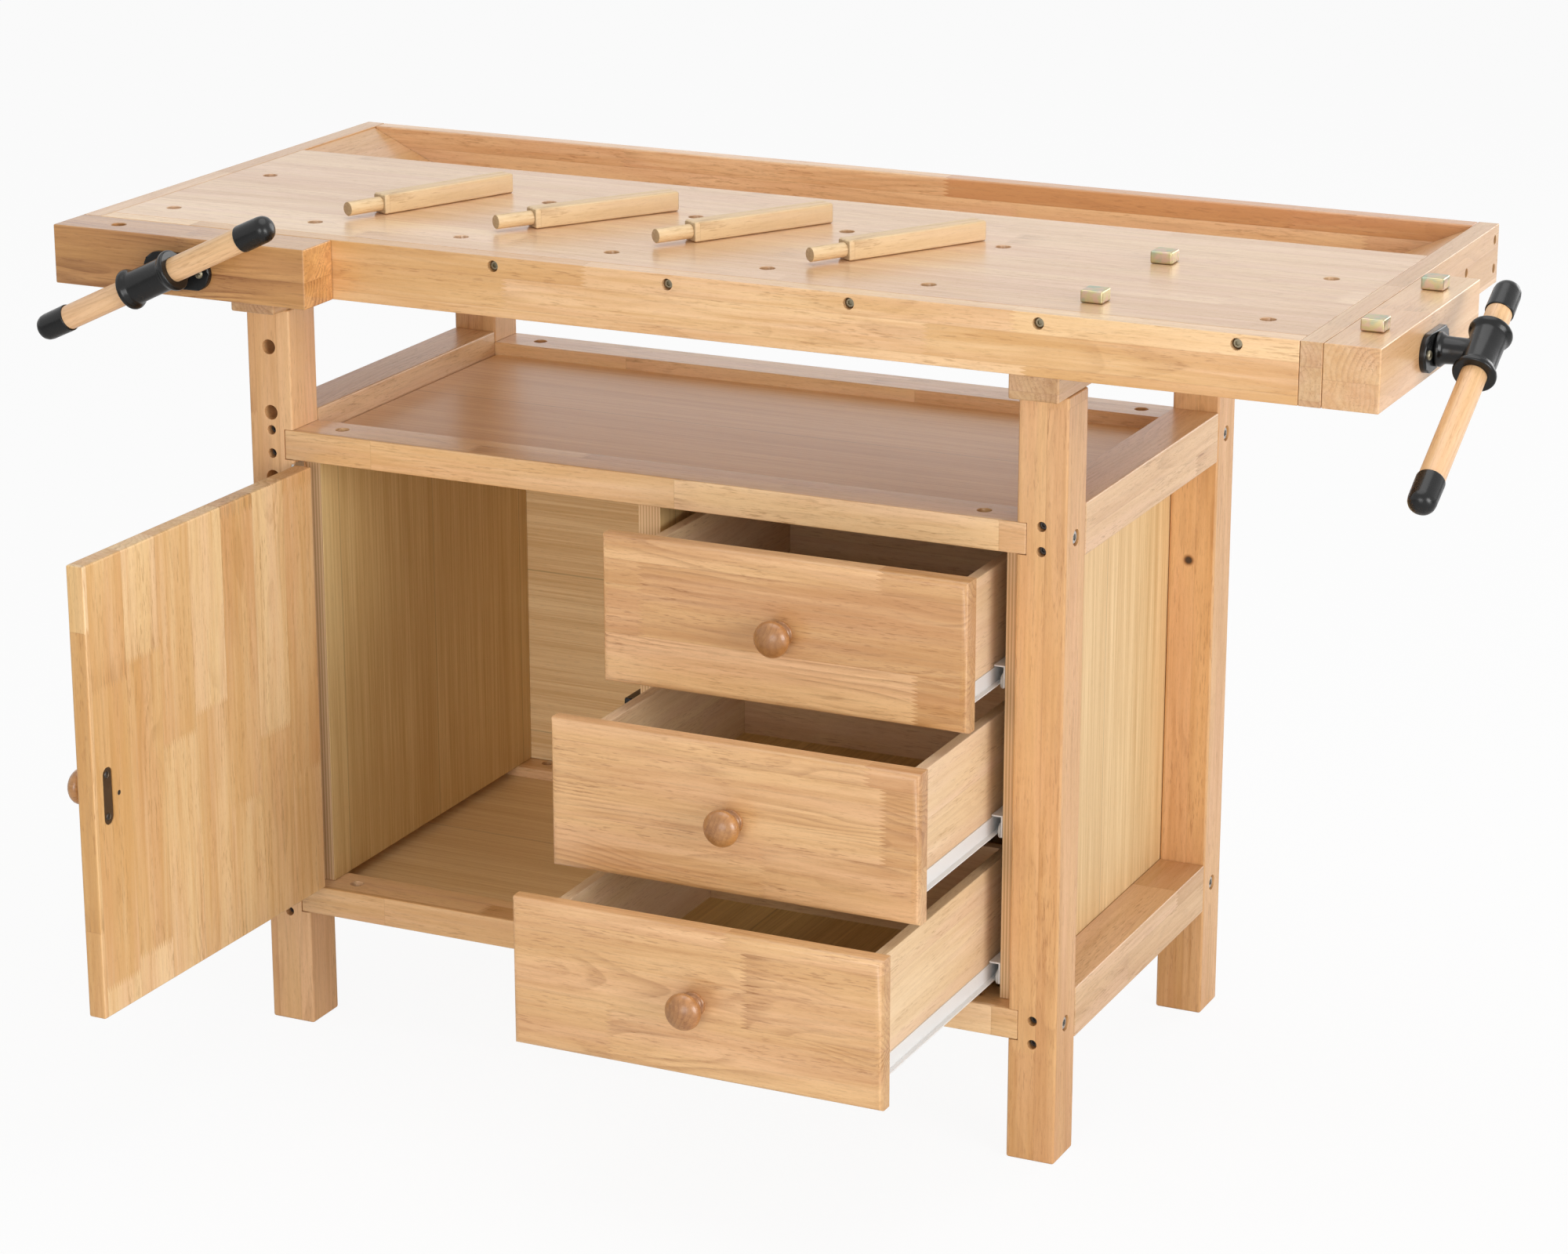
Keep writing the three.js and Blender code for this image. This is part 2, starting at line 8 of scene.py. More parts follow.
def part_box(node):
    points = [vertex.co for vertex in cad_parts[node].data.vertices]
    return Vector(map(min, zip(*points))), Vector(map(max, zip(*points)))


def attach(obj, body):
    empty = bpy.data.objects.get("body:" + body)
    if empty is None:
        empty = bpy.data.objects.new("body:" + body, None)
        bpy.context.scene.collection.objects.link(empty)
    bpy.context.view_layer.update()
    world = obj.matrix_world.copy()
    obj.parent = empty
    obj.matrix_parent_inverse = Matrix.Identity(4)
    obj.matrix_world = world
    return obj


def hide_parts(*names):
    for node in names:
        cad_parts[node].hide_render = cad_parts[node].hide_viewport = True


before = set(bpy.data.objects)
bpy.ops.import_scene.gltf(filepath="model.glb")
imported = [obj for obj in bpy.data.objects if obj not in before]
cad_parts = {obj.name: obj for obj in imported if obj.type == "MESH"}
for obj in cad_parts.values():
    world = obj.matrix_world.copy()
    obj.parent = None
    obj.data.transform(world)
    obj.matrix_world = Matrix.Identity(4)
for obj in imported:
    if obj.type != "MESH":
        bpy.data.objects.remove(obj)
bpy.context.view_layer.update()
view_settings = bpy.context.scene.view_settings
view_settings.view_transform = "Standard"


# Legs: four square posts of pale hardwood, planed, eased on every edge and lacquered.
# Each is housed for the long rails and bolted to the rails through its two outer faces.
# The left front one has a column of bored holes for a peg.
mm = 0.001
left_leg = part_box("leg_front_left")
right_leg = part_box("leg_front_right")
bench_middle = (left_leg[0].x + right_leg[1].x) / 2
bench_front = left_leg[0].y


def at(x, y, z):
    """A point, from millimetres off the bench's middle, its front legs' faces and the floor."""
    return Vector((bench_middle + x * mm, bench_front + y * mm, z * mm))


class Wire:
    """One socket of a finish. Arithmetic on it adds Math nodes to the same finish."""

    def __init__(self, socket):
        self.socket = socket

    def node(self, kind, settings=None, inputs=None, output=0):
        tree = self.socket.id_data
        made = tree.nodes.new(kind)
        for name, value in (settings or {}).items():
            setattr(made, name, value)
        for name, value in (inputs or {}).items():
            if isinstance(value, Wire):
                tree.links.new(value.socket, made.inputs[name])
            else:
                made.inputs[name].default_value = value
        return Wire(made.outputs[output])

    def math(self, operation, *others):
        return self.node("ShaderNodeMath", {"operation": operation}, dict(enumerate((self, *others))))

    def __add__(self, other):
        return self.math("ADD", other)

    __radd__ = __add__

    def __sub__(self, other):
        return self.math("SUBTRACT", other)

    def __rsub__(self, other):
        return self.math("MULTIPLY_ADD", -1.0, other)

    def __mul__(self, other):
        return self.math("MULTIPLY", other)

    __rmul__ = __mul__

    def __truediv__(self, other):
        return self.math("DIVIDE", other)

    def between(self, low, high):
        settings = {"interpolation_type": "SMOOTHSTEP"}
        return self.node("ShaderNodeMapRange", settings, {"Value": self, "From Min": low, "From Max": high})

    def split(self):
        parts = self.node("ShaderNodeSeparateXYZ", inputs={0: self}).socket.node.outputs
        return [Wire(part) for part in parts]

    def joined(self, second, third):
        return self.node("ShaderNodeCombineXYZ", inputs={0: self, 1: second, 2: third})

    def blend(self, first, second):
        settings = {"data_type": "RGBA", "clamp_factor": True}
        return self.node("ShaderNodeMix", settings, {0: self, 6: first, 7: second}, 2)

    def times(self, colour):
        settings = {"operation": "SCALE"}
        return self.node("ShaderNodeVectorMath", settings, {0: colour, "Scale": self})

    def tinted(self, colour, tint):
        settings = {"data_type": "RGBA", "blend_type": "MULTIPLY", "clamp_factor": True}
        return self.node("ShaderNodeMix", settings, {0: self, 6: colour, 7: tint}, 2)

    def noise(self, detail=2.0, rough=0.5, bend=0.0):
        inputs = {"Vector": self, "Scale": 1.0, "Detail": detail, "Roughness": rough, "Distortion": bend}
        return self.node("ShaderNodeTexNoise", None, inputs)

    def luck(self):
        return self.node("ShaderNodeTexWhiteNoise", {"noise_dimensions": "3D"}, {"Vector": self})


def start_finish(name):
    """A new material with its shader, and wires for the place on the piece and the way the surface faces."""
    material = bpy.data.materials.new(name)
    material.use_nodes = True
    shader = material.node_tree.nodes["Principled BSDF"]
    place = Wire(shader.outputs[0]).node("ShaderNodeTexCoord", output="Object")
    facing = Wire(place.socket.node.outputs["Normal"])
    return material, shader, place, facing


def set_finish(shader, **values):
    """Sets or links the shader's sockets, named with underscores for spaces."""
    for name, value in values.items():
        socket = shader.inputs[name.replace("_", " ")]
        if isinstance(value, Wire):
            shader.id_data.links.new(value.socket, socket)
        else:
            socket.default_value = value


def raised(height, depth, strength):
    """A bump from a height."""
    inputs = {"Height": height, "Distance": depth, "Strength": strength}
    return height.node("ShaderNodeBump", None, inputs)


def timber(name, along, across, strip, run, dark, light, spread=0.5, gloss=0.34, coat=0.3, end=0.86,
           vein=0.5, knot=None, edge=None):
    """Lacquered hardwood glued up from strips, each finger-jointed from shorter lengths.

    The grain runs along one axis and the strips lie side by side across another. A strip's width and the
    run of its lengths are in metres. The rest sets how far lengths differ and how the surface shines.
    """
    material, shader, place, facing = start_finish(name)
    axes = place.split()
    lengthwise, sideways, deep = axes[along], axes[across], axes[3 - along - across]

    # Each strip is a row of lengths that meet in a comb of fingers, and each length has its own luck.
    finger_width = 0.0019
    finger_slope = 4.2
    strip_place = sideways / strip
    row = strip_place.math("FLOOR")
    row_luck = (row + 0.5).joined(0.31, 0.7).luck()
    fingers = sideways.math("PINGPONG", finger_width) * finger_slope
    length_place = (lengthwise + fingers) / run + row_luck * 7.3
    length_number = length_place.math("FLOOR")
    tone = (row + 0.5).joined(length_number + 0.5, 0.2).luck()
    seed = (length_number + 0.5).joined(row + 0.5, 0.8).luck()
    shifted = lengthwise + tone * 3.1

    # Growth rings about a heart below the strip, seen only in patches.
    ring_width = 0.0056
    bend = (shifted * 2.6).joined(sideways * 12 + seed * 7, deep * 12).noise(2.0, 0.5, 0.5)
    from_heart = (strip_place - row - seed) * strip
    under_heart = deep.math("PINGPONG", 0.07) + 0.012
    radius = (from_heart * from_heart + under_heart * under_heart).math("SQRT")
    ring = ((radius + bend * 0.060 + shifted * 0.015) / ring_width).math("FRACT")
    late = ring.between(0.30, 0.90) * (1 - ring.between(0.90, 1.0))
    shown = (shifted * 7).joined(sideways * 26, deep * 26).noise(2.0).between(0.42, 0.68)

    # Broad soft bands, narrow streaks, short dark flecks in clusters, and open pores.
    broad = (lengthwise * 1.7).joined(sideways * 9, deep * 9).noise(1.0)
    figure = (shifted * 3.2).joined(sideways * 60 + tone * 9, deep * 60).noise(3.0, 0.55, 0.7)
    streak = (shifted * 8).joined(sideways * 230, deep * 230).noise(3.0, 0.6, 0.2)
    fibre = (shifted * 60).joined(sideways * 620, deep * 620).noise(2.0, 0.6)
    cluster = (shifted * 9).joined(sideways * 48 + seed * 5, deep * 48).noise(2.0).between(0.40, 0.66)
    fleck = fibre.between(0.53, 0.68) * (cluster * 0.8 + 0.2)
    pore = (shifted * 150).joined(sideways * 2300, deep * 2300).noise(1.0).between(0.60, 0.72)
    level = 0.5 + (tone - 0.5) * spread + (figure - 0.5) * 0.9 + (streak - 0.5) * 0.9 + (broad - 0.5) * 0.5
    plain = level.between(0.0, 1.0).blend((*dark, 1), (*light, 1))
    blush = (shifted * 3.4).joined(sideways * 34 + seed * 11, deep * 34).noise(2.0).between(0.38, 0.66)
    colour = (blush * 0.8).tinted(plain, (1.0, 0.965, 1.06, 1))

    # Glue lines, the stain beside some finger joints, end grain, and the knot where there is one.
    strip_part = strip_place - row
    strip_edge = strip_part.math("MINIMUM", 1 - strip_part) * strip
    length_part = length_place - length_number
    length_edge = length_part.math("MINIMUM", 1 - length_part) * run
    glue = 1 - strip_edge.math("MINIMUM", length_edge).between(0.0002, 0.0009)
    beside_joint = 1 - (length_part * run).between(0.004, 0.034)
    stain = beside_joint * seed.between(0.45, 0.8) * streak.between(0.4, 0.6)
    faces = facing.split()
    end_grain = faces[along].math("ABSOLUTE").between(0.6, 0.9)
    rings = late * (shown * (0.42 * vein) + end_grain * 0.16)
    lines = rings + streak.between(0.52, 0.72) * (0.36 * vein) + fleck * 0.44 + pore * 0.24
    lines = lines + glue * 0.16 + stain * 0.40
    if knot:
        away = place.node("ShaderNodeVectorMath", {"operation": "DISTANCE"}, {0: place, 1: knot}, "Value")
        lines = lines.math("MAXIMUM", 1 - (away + figure * 0.006).between(0.006, 0.011))
    stained = lines.blend(colour, (dark[0] * 0.58, dark[1] * 0.46, dark[2] * 0.36, 1))
    if knot:
        stained = (1 - away.between(0.0025, 0.0055)).blend(stained, (0.05, 0.022, 0.010, 1))
    if edge:
        stained = faces[across].math("ABSOLUTE").between(0.6, 0.9).tinted(stained, (*edge, 1))
    shade = 1 + end_grain * (end - 1)
    worn = fibre * 0.10 + pore * 0.15 + end_grain * 0.18 + gloss
    relief = fibre * 0.35 - pore * 0.9 - glue * 0.4
    set_finish(shader, Base_Color=shade.times(stained), Roughness=worn)
    set_finish(shader, Normal=raised(relief, 0.00025, 0.35), Coat_Weight=coat, Coat_Roughness=0.2)
    return material


def grow_box(form, low, high):
    """Adds a box between two corners."""
    place = Matrix.Translation((low + high) / 2) @ Matrix.Diagonal((*(high - low), 1))
    bmesh.ops.create_cube(form, size=1, matrix=place)


def grow_rod(form, start, end, radius, tip=None, sides=32):
    """Adds a rod between two points, or a cone when its tip has another radius."""
    run = end - start
    turn = run.to_track_quat("Z", "Y").to_matrix().to_4x4()
    place = Matrix.Translation((start + end) / 2) @ turn
    radii = {"radius1": radius, "radius2": radius if tip is None else tip}
    bmesh.ops.create_cone(form, cap_ends=True, segments=sides, depth=run.length, matrix=place, **radii)


def grow_hole(form, mouth, inward, radius, depth, flare=0.0):
    """Adds a cutter for a round hole, opened out at its mouth."""
    grow_rod(form, mouth - inward * 2 * mm, mouth + inward * depth, radius)
    if flare:
        grow_rod(form, mouth - inward * flare, mouth + inward * flare, radius + flare * 2, radius)


def board(low, high, eased=1.5 * mm, steps=2):
    """A box with eased edges."""
    form = bmesh.new()
    grow_box(form, low, high)
    ease(form, form.edges, eased, steps)
    return form


def ease(form, edges, width, steps=2):
    """Rounds edges off."""
    bmesh.ops.bevel(form, geom=list(edges), offset=width, segments=steps, profile=0.5, affect="EDGES")


def new_object(name, form):
    """Turns a form into an object."""
    bmesh.ops.recalc_face_normals(form, faces=form.faces)
    mesh = bpy.data.meshes.new(name)
    form.to_mesh(mesh)
    form.free()
    made = bpy.data.objects.new(name, mesh)
    bpy.context.collection.objects.link(made)
    return made


def combine(piece, form, operation):
    """Cuts a form out of a piece, or joins it on."""
    other = new_object("other", form)
    step = piece.modifiers.new("other", "BOOLEAN")
    step.operation = operation
    step.solver = "EXACT"
    step.use_self = True
    step.object = other
    whole = piece.evaluated_get(bpy.context.evaluated_depsgraph_get())
    piece.data = bpy.data.meshes.new_from_object(whole)
    piece.modifiers.clear()
    bpy.data.objects.remove(other)


def fit(name, form, finish, body, nodes=(), stand=None, cuts=None, joins=None):
    """Makes a piece, finishes it, and fixes it to the body that carries it."""
    piece = new_object(name, form)
    if joins:
        combine(piece, joins, "UNION")
    if cuts:
        combine(piece, cuts, "DIFFERENCE")
    piece.data.materials.clear()
    piece.data.materials.append(finish)
    piece.data.shade_smooth()
    piece.data.set_sharp_from_angle(angle=math.radians(50))
    if stand:
        piece.matrix_world = stand
        bpy.context.view_layer.update()
    normals = piece.modifiers.new("normals", "WEIGHTED_NORMAL")
    normals.keep_sharp = True
    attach(piece, body)
    if nodes:
        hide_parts(*nodes)


leg_finish = timber("leg_timber", 2, 0, strip=0.026, run=0.9, spread=0.4,
                    dark=(0.57, 0.285, 0.096), light=(0.79, 0.475, 0.215))
knotty = timber("knotty_timber", 2, 0, strip=0.026, run=0.9, spread=0.4,
                dark=(0.60, 0.305, 0.105), light=(0.82, 0.500, 0.235), knot=at(416, 422, 499))
# The left front leg takes a lighter copy of the leg timber: painted light, for the light that the vise jaw
# and the slab keep off it.
painted_light_leg = timber("painted_light_leg_timber", 2, 0, strip=0.026, run=0.9, spread=0.4,
                  dark=(0.63, 0.335, 0.128), light=(0.85, 0.530, 0.258))
leg_finishes = {"leg_rear_right": knotty, "leg_front_left": painted_light_leg}
rail_slack = Vector((0.3, 2, 0.3)) * mm
hole_flare = 0.4 * mm
end_bolt_hole = 4.8 * mm
end_bolt_depth = 14 * mm
end_bolt_sunk = 7 * mm
end_bolt_drop = 12.2 * mm
lower_bolt_shift = 7 * mm
side_bolt_hole = 8.0 * mm
side_bolt_depth = 12 * mm
side_bolt_sunk = 1.6 * mm
peg_hole = 7.5 * mm
peg_hole_depth = 35 * mm
peg_hole_heights = (595, 663, 731)
end_bolts = []
side_bolts = []
for end, face in (("front", 1), ("rear", -1)):
    for side, outward in (("left", -1), ("right", 1)):
        name = f"leg_{end}_{side}"
        low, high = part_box(name)
        middle = (low + high) / 2
        cuts = bmesh.new()
        for level in ("lower", "upper"):
            rail_low, rail_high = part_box(f"long_rail_{level}_{end}")
            grow_box(cuts, rail_low - rail_slack, rail_high + rail_slack)
            end_low, end_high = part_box(f"end_rail_{level}_{side}")
            inward = Vector((0, face, 0))
            bolt_middle = (end_low.z + end_high.z) / 2 - (lower_bolt_shift if level == "lower" else 0)
            for step in (-end_bolt_drop, end_bolt_drop):
                mouth = Vector((middle.x, low.y if face > 0 else high.y, bolt_middle + step))
                grow_hole(cuts, mouth, inward, end_bolt_hole, end_bolt_depth, hole_flare)
                end_bolts.append((mouth + inward * end_bolt_sunk, -inward))
            inward = Vector((-outward, 0, 0))
            mouth = Vector((high.x if outward > 0 else low.x, middle.y, (rail_low.z + rail_high.z) / 2))
            grow_hole(cuts, mouth, inward, side_bolt_hole, side_bolt_depth, hole_flare)
            side_bolts.append((mouth + inward * side_bolt_sunk, -inward))
        if name == "leg_front_left":
            for height in peg_hole_heights:
                mouth = Vector((middle.x, low.y, height * mm))
                grow_hole(cuts, mouth, Vector((0, 1, 0)), peg_hole, peg_hole_depth, 0.5 * mm)
        finish = leg_finishes.get(name, leg_finish)
        fit(name + "_post", board(low, high, 2.5 * mm, 3), finish, "bench", [name], cuts=cuts)


# Bolts: steel socket heads sunk in the legs, two at each end of an end rail and one at each of a long rail.
# They are turned and plated, with a hexagon socket.
def metal(name, colour, rough, metallic=1.0, streak=0.25, uneven=1.0, **others):
    """Metal or hard paint with a fine uneven surface."""
    material, shader, place = start_finish(name)[:3]
    x, y, z = place.split()
    cloud = (x * 90).joined(y * 90, z * 90).noise(4.0, 0.6)
    grit = (x * 900).joined(y * 900, z * 900).noise(2.0, 0.6)
    shade = 1 + (cloud - 0.5) * streak
    wear = (cloud - 0.5) * (0.22 * uneven) + (grit - 0.5) * (0.12 * uneven) + rough
    set_finish(shader, Base_Color=shade.times(colour), Roughness=wear, Metallic=metallic)
    set_finish(shader, Normal=raised(grit * 0.6 + cloud, 0.0003, 0.12 * uneven), **others)
    return material


def grow_turned(form, profile, start, axis, sides=48):
    """Adds a turned shape from distances along an axis and radii."""
    spin = axis.to_track_quat("Z", "Y").to_matrix()
    rings = []
    for along, radius in profile:
        angles = [2 * math.pi * step / sides for step in range(sides)]
        points = [Vector((radius * math.cos(a), radius * math.sin(a), along)) for a in angles]
        rings.append([form.verts.new(start + spin @ point) for point in points])
    for near, far in zip(rings, rings[1:]):
        for step in range(sides):
            form.faces.new((near[step - 1], near[step], far[step], far[step - 1]))
    form.faces.new(reversed(rings[0]))
    form.faces.new(rings[-1])


def head_profile(radius):
    """A cylinder head with a rounded rim."""
    top = radius * 1.1
    return [(0, radius), (top * 0.8, radius), (top * 0.93, radius * 0.95), (top, radius * 0.84)]


def socket_heads(name, places, radius, finish, body):
    """A set of socket-head screws, each at a point and facing a way."""
    form = bmesh.new()
    cuts = bmesh.new()
    for point, facing in places:
        grow_turned(form, head_profile(radius), point - facing * radius * 1.1, facing, 28)
        grow_rod(cuts, point - facing * radius * 0.55, point + facing * radius, radius * 0.56, sides=6)
    fit(name, form, finish, body, cuts=cuts)


steel_finish = metal("bright_steel", (0.62, 0.62, 0.60), 0.32)
dark_steel_finish = metal("dark_steel", (0.09, 0.085, 0.08), 0.42, 0.8)
dull_zinc_finish = metal("dull_zinc", (0.30, 0.26, 0.18), 0.40)
socket_heads("leg_end_bolts", end_bolts, 4.4 * mm, dark_steel_finish, "bench")
socket_heads("leg_side_bolts", side_bolts, 6.6 * mm, steel_finish, "bench")


# Long rails: the front and rear rails that tie the legs together, from finger-jointed hardwood strip.
# Their ends are let into the legs, and a steel barrel nut near each end takes the bolt from the side.
rail_finish = timber("rail_timber", 0, 1, strip=0.025, run=0.34, spread=0.6, gloss=0.28, coat=0.55,
                     dark=(0.68, 0.385, 0.155), light=(0.94, 0.650, 0.350))
nut_radius = 6.8 * mm
nut_hole = 7.2 * mm
nut_across = 351
nut_depths = {"front": 25, "rear": 447}
down = Vector((0, 0, -1))
barrel_nuts = bmesh.new()
for end in ("front", "rear"):
    for level in ("lower", "upper"):
        name = f"long_rail_{level}_{end}"
        low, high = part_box(name)
        cuts = bmesh.new()
        for side in (-1, 1):
            mouth = at(nut_across * side, nut_depths[end], 0)
            mouth.z = high.z
            grow_hole(cuts, mouth, down, nut_hole, 16 * mm, hole_flare)
            grow_rod(barrel_nuts, mouth + down * 15 * mm, mouth + down * 5 * mm, nut_radius)
        fit(name + "_strip", board(low, high, 1.6 * mm), rail_finish, "bench", [name], cuts=cuts)
fit("barrel_nuts", barrel_nuts, steel_finish, "bench")


# End rails: two at each end of the base, between a front and a rear leg, with the grain along their length.
# They are planed from the same hardwood and drawn up to the legs by the pairs of bolts.
depth_finish = timber("depth_timber", 1, 2, strip=0.030, run=0.42, spread=0.6,
                      dark=(0.56, 0.312, 0.130), light=(0.79, 0.533, 0.298))
for level in ("lower", "upper"):
    for side in ("left", "right"):
        name = f"end_rail_{level}_{side}"
        fit(name + "_strip", board(*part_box(name), 1.6 * mm), depth_finish, "bench", [name])


# Bearers: a thick bar over each pair of legs that carries the top, stepped down at the back under the tray.
# The front end stands out past the leg, under the slab's front edge.
def grow_prism(form, outline, push):
    """Adds a prism: a closed outline of points pushed along a direction."""
    near = [form.verts.new(point) for point in outline]
    far = [form.verts.new(point + push) for point in outline]
    form.faces.new(near)
    form.faces.new(reversed(far))
    for step in range(len(near)):
        form.faces.new((near[step - 1], near[step], far[step], far[step - 1]))


step = at(0, 315.7, 805.7)
for side in ("left", "right"):
    name = f"bearer_{side}"
    low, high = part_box(name)
    corners = [(high.y, low.z), (high.y, step.z), (step.y, step.z), (step.y, high.z)]
    corners = corners + [(low.y, high.z), (low.y, low.z)]
    form = bmesh.new()
    grow_prism(form, [Vector((low.x, y, z)) for y, z in corners], Vector((high.x - low.x, 0, 0)))
    ease(form, form.edges, 2.2 * mm, 3)
    fit(name + "_bar", form, depth_finish, "bench", [name])


# Cupboard panels: veneered board. The sides and the divider stand upright with upright grain; the shelf,
# the bottom and the back have their grain along the bench and sit in grooves in the rails. The shelf and
# the bottom are cut a little small, so that a dark gap shows around them.
def sheet(name, along, through, dark, light, gloss=0.42, coat=0.12):
    """Lacquered veneer on board: fine straight grain, with the plies showing at the edges."""
    material, shader, place, facing = start_finish(name)
    axes = place.split()
    across = 3 - along - through
    lengthwise, sideways, deep = axes[along], axes[across], axes[through]
    leaf_width = 0.19
    ply_thick = 0.0016
    leaf_place = sideways / leaf_width
    leaf = leaf_place.math("FLOOR")
    leaf_part = leaf_place - leaf
    seam = 1 - (leaf_part.math("MINIMUM", 1 - leaf_part) * leaf_width).between(0.0002, 0.0010)
    leaf_luck = (leaf + 0.5).joined(0.2, 0.9).luck()
    figure = (lengthwise * 1.3 + leaf_luck * 4).joined(sideways * 60, deep * 4).noise(4.0, 0.62, 0.35)
    lines = (lengthwise * 5).joined(sideways * 420, deep * 4).noise(3.0, 0.62)
    pore = (lengthwise * 90).joined(sideways * 1900, deep * 4).noise(1.0).between(0.60, 0.74)
    level = 0.5 + (figure - 0.5) * 1.1 + (lines - 0.5) * 1.5 + (leaf_luck - 0.5) * 0.3
    colour = level.between(0.0, 1.0).blend((*dark, 1), (*light, 1))
    ply = (deep * (math.pi / ply_thick)).math("SINE").between(-0.3, 0.5)
    ply_colour = ply.blend((0.63, 0.39, 0.185, 1), (0.82, 0.57, 0.32, 1))
    edge = 1 - facing.split()[through].math("ABSOLUTE").between(0.4, 0.7)
    shade = 1 - pore * 0.14 - seam * 0.30
    worn = lines * 0.10 + pore * 0.12 + edge * 0.2 + gloss
    set_finish(shader, Base_Color=edge.blend(shade.times(colour), ply_colour), Roughness=worn)
    set_finish(shader, Normal=raised(lines * 0.4 - pore, 0.0002, 0.3), Coat_Weight=coat, Coat_Roughness=0.3)
    return material


# The left side and the divider face into the cupboard and take a darker copy of the veneer: painted shade.
painted_shade_inner_sheet = sheet("painted_shade_inner_sheet", 2, 0, (0.57, 0.364, 0.140), (0.79, 0.588, 0.280))
right_sheet = sheet("right_sheet", 2, 0, (0.63, 0.405, 0.176), (0.88, 0.645, 0.350))
# The shelf, the bottom and the back take paler copies of the veneer: painted light, for the light that the
# top and the cupboard keep off them.
painted_light_shelf_sheet = sheet("painted_light_shelf_sheet", 0, 2, (0.74, 0.470, 0.245), (0.96, 0.710, 0.440), 0.36, 0.4)
bottom_sheet = sheet("bottom_sheet", 0, 2, (0.76, 0.520, 0.245), (0.96, 0.750, 0.440))
back_sheet = sheet("back_sheet", 0, 1, (0.76, 0.490, 0.220), (0.98, 0.740, 0.420))
panel_finishes = {
    "side_panel_left": painted_shade_inner_sheet,
    "side_panel_right": right_sheet,
    "divider_panel": painted_shade_inner_sheet,
    "shelf_panel": painted_light_shelf_sheet,
    "bottom_panel": bottom_sheet,
    "back_panel": back_sheet,
}
panel_gap = Vector((1.2, 0.9, 0)) * mm
for name, finish in panel_finishes.items():
    low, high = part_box(name)
    if finish in (painted_light_shelf_sheet, bottom_sheet):
        low, high = low + panel_gap, high - panel_gap
    fit(name + "_sheet", board(low, high, 0.6 * mm), finish, "bench", [name])


# Slab: the working surface, glued up from long hardwood strips, with a thick lip under its rear edge.
# Two rows of round dog holes are bored through it, and the edges of the holes are eased.
top_finish = timber("top_timber", 0, 1, strip=0.052, run=0.46, spread=0.4, gloss=0.30, coat=0.5, vein=0.4,
                    dark=(0.66, 0.390, 0.190), light=(0.90, 0.640, 0.390))
slab_top = 860
lip = at(0, 316, 840)
dog_hole = 7.5 * mm
dog_flare = 0.7 * mm
dog_rows = (17.6, 201)
dog_columns = [-536 + 166.1 * column for column in range(8)]
low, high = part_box("top_slab")
corners = [(low.y, high.z), (high.y, high.z), (high.y, low.z), (lip.y, low.z), (lip.y, lip.z), (low.y, lip.z)]
slab = bmesh.new()
grow_prism(slab, [Vector((low.x, y, z)) for y, z in corners], Vector((high.x - low.x, 0, 0)))
ease(slab, slab.edges, 0.7 * mm)
cuts = bmesh.new()
for depth in dog_rows:
    for across in dog_columns:
        grow_hole(cuts, at(across, depth, slab_top), down, dog_hole, 60 * mm, dog_flare)
fit("top_slab_boards", slab, top_finish, "bench", ["top_slab"], cuts=cuts)


# Apron: the deep board along the front edge of the top, from finger-jointed hardwood strip.
# Five sunk screws in a row near its upper edge fix it to the slab.
apron_finish = timber("apron_timber", 0, 2, strip=0.030, run=0.44, spread=0.6, gloss=0.28, coat=0.4,
                      dark=(0.67, 0.365, 0.133), light=(0.94, 0.650, 0.350))
apron_screw_places = (-132, 55, 242.6, 431, 620)
apron_screw_height = 850.5
apron_screw_hole = 5.6 * mm
apron_screw_sunk = 4.6 * mm
low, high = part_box("front_apron")
inward = Vector((0, 1, 0))
cuts = bmesh.new()
apron_screws = []
for across in apron_screw_places:
    mouth = at(across, 0, apron_screw_height)
    mouth.y = low.y
    grow_hole(cuts, mouth, inward, apron_screw_hole, 12 * mm, hole_flare)
    apron_screws.append((mouth + inward * apron_screw_sunk, -inward))
apron = board(low, high, 0.9 * mm)
fit("front_apron_board", apron, apron_finish, "bench", ["front_apron"], cuts=cuts)
socket_heads("apron_screws", apron_screws, 4.6 * mm, dull_zinc_finish, "bench")


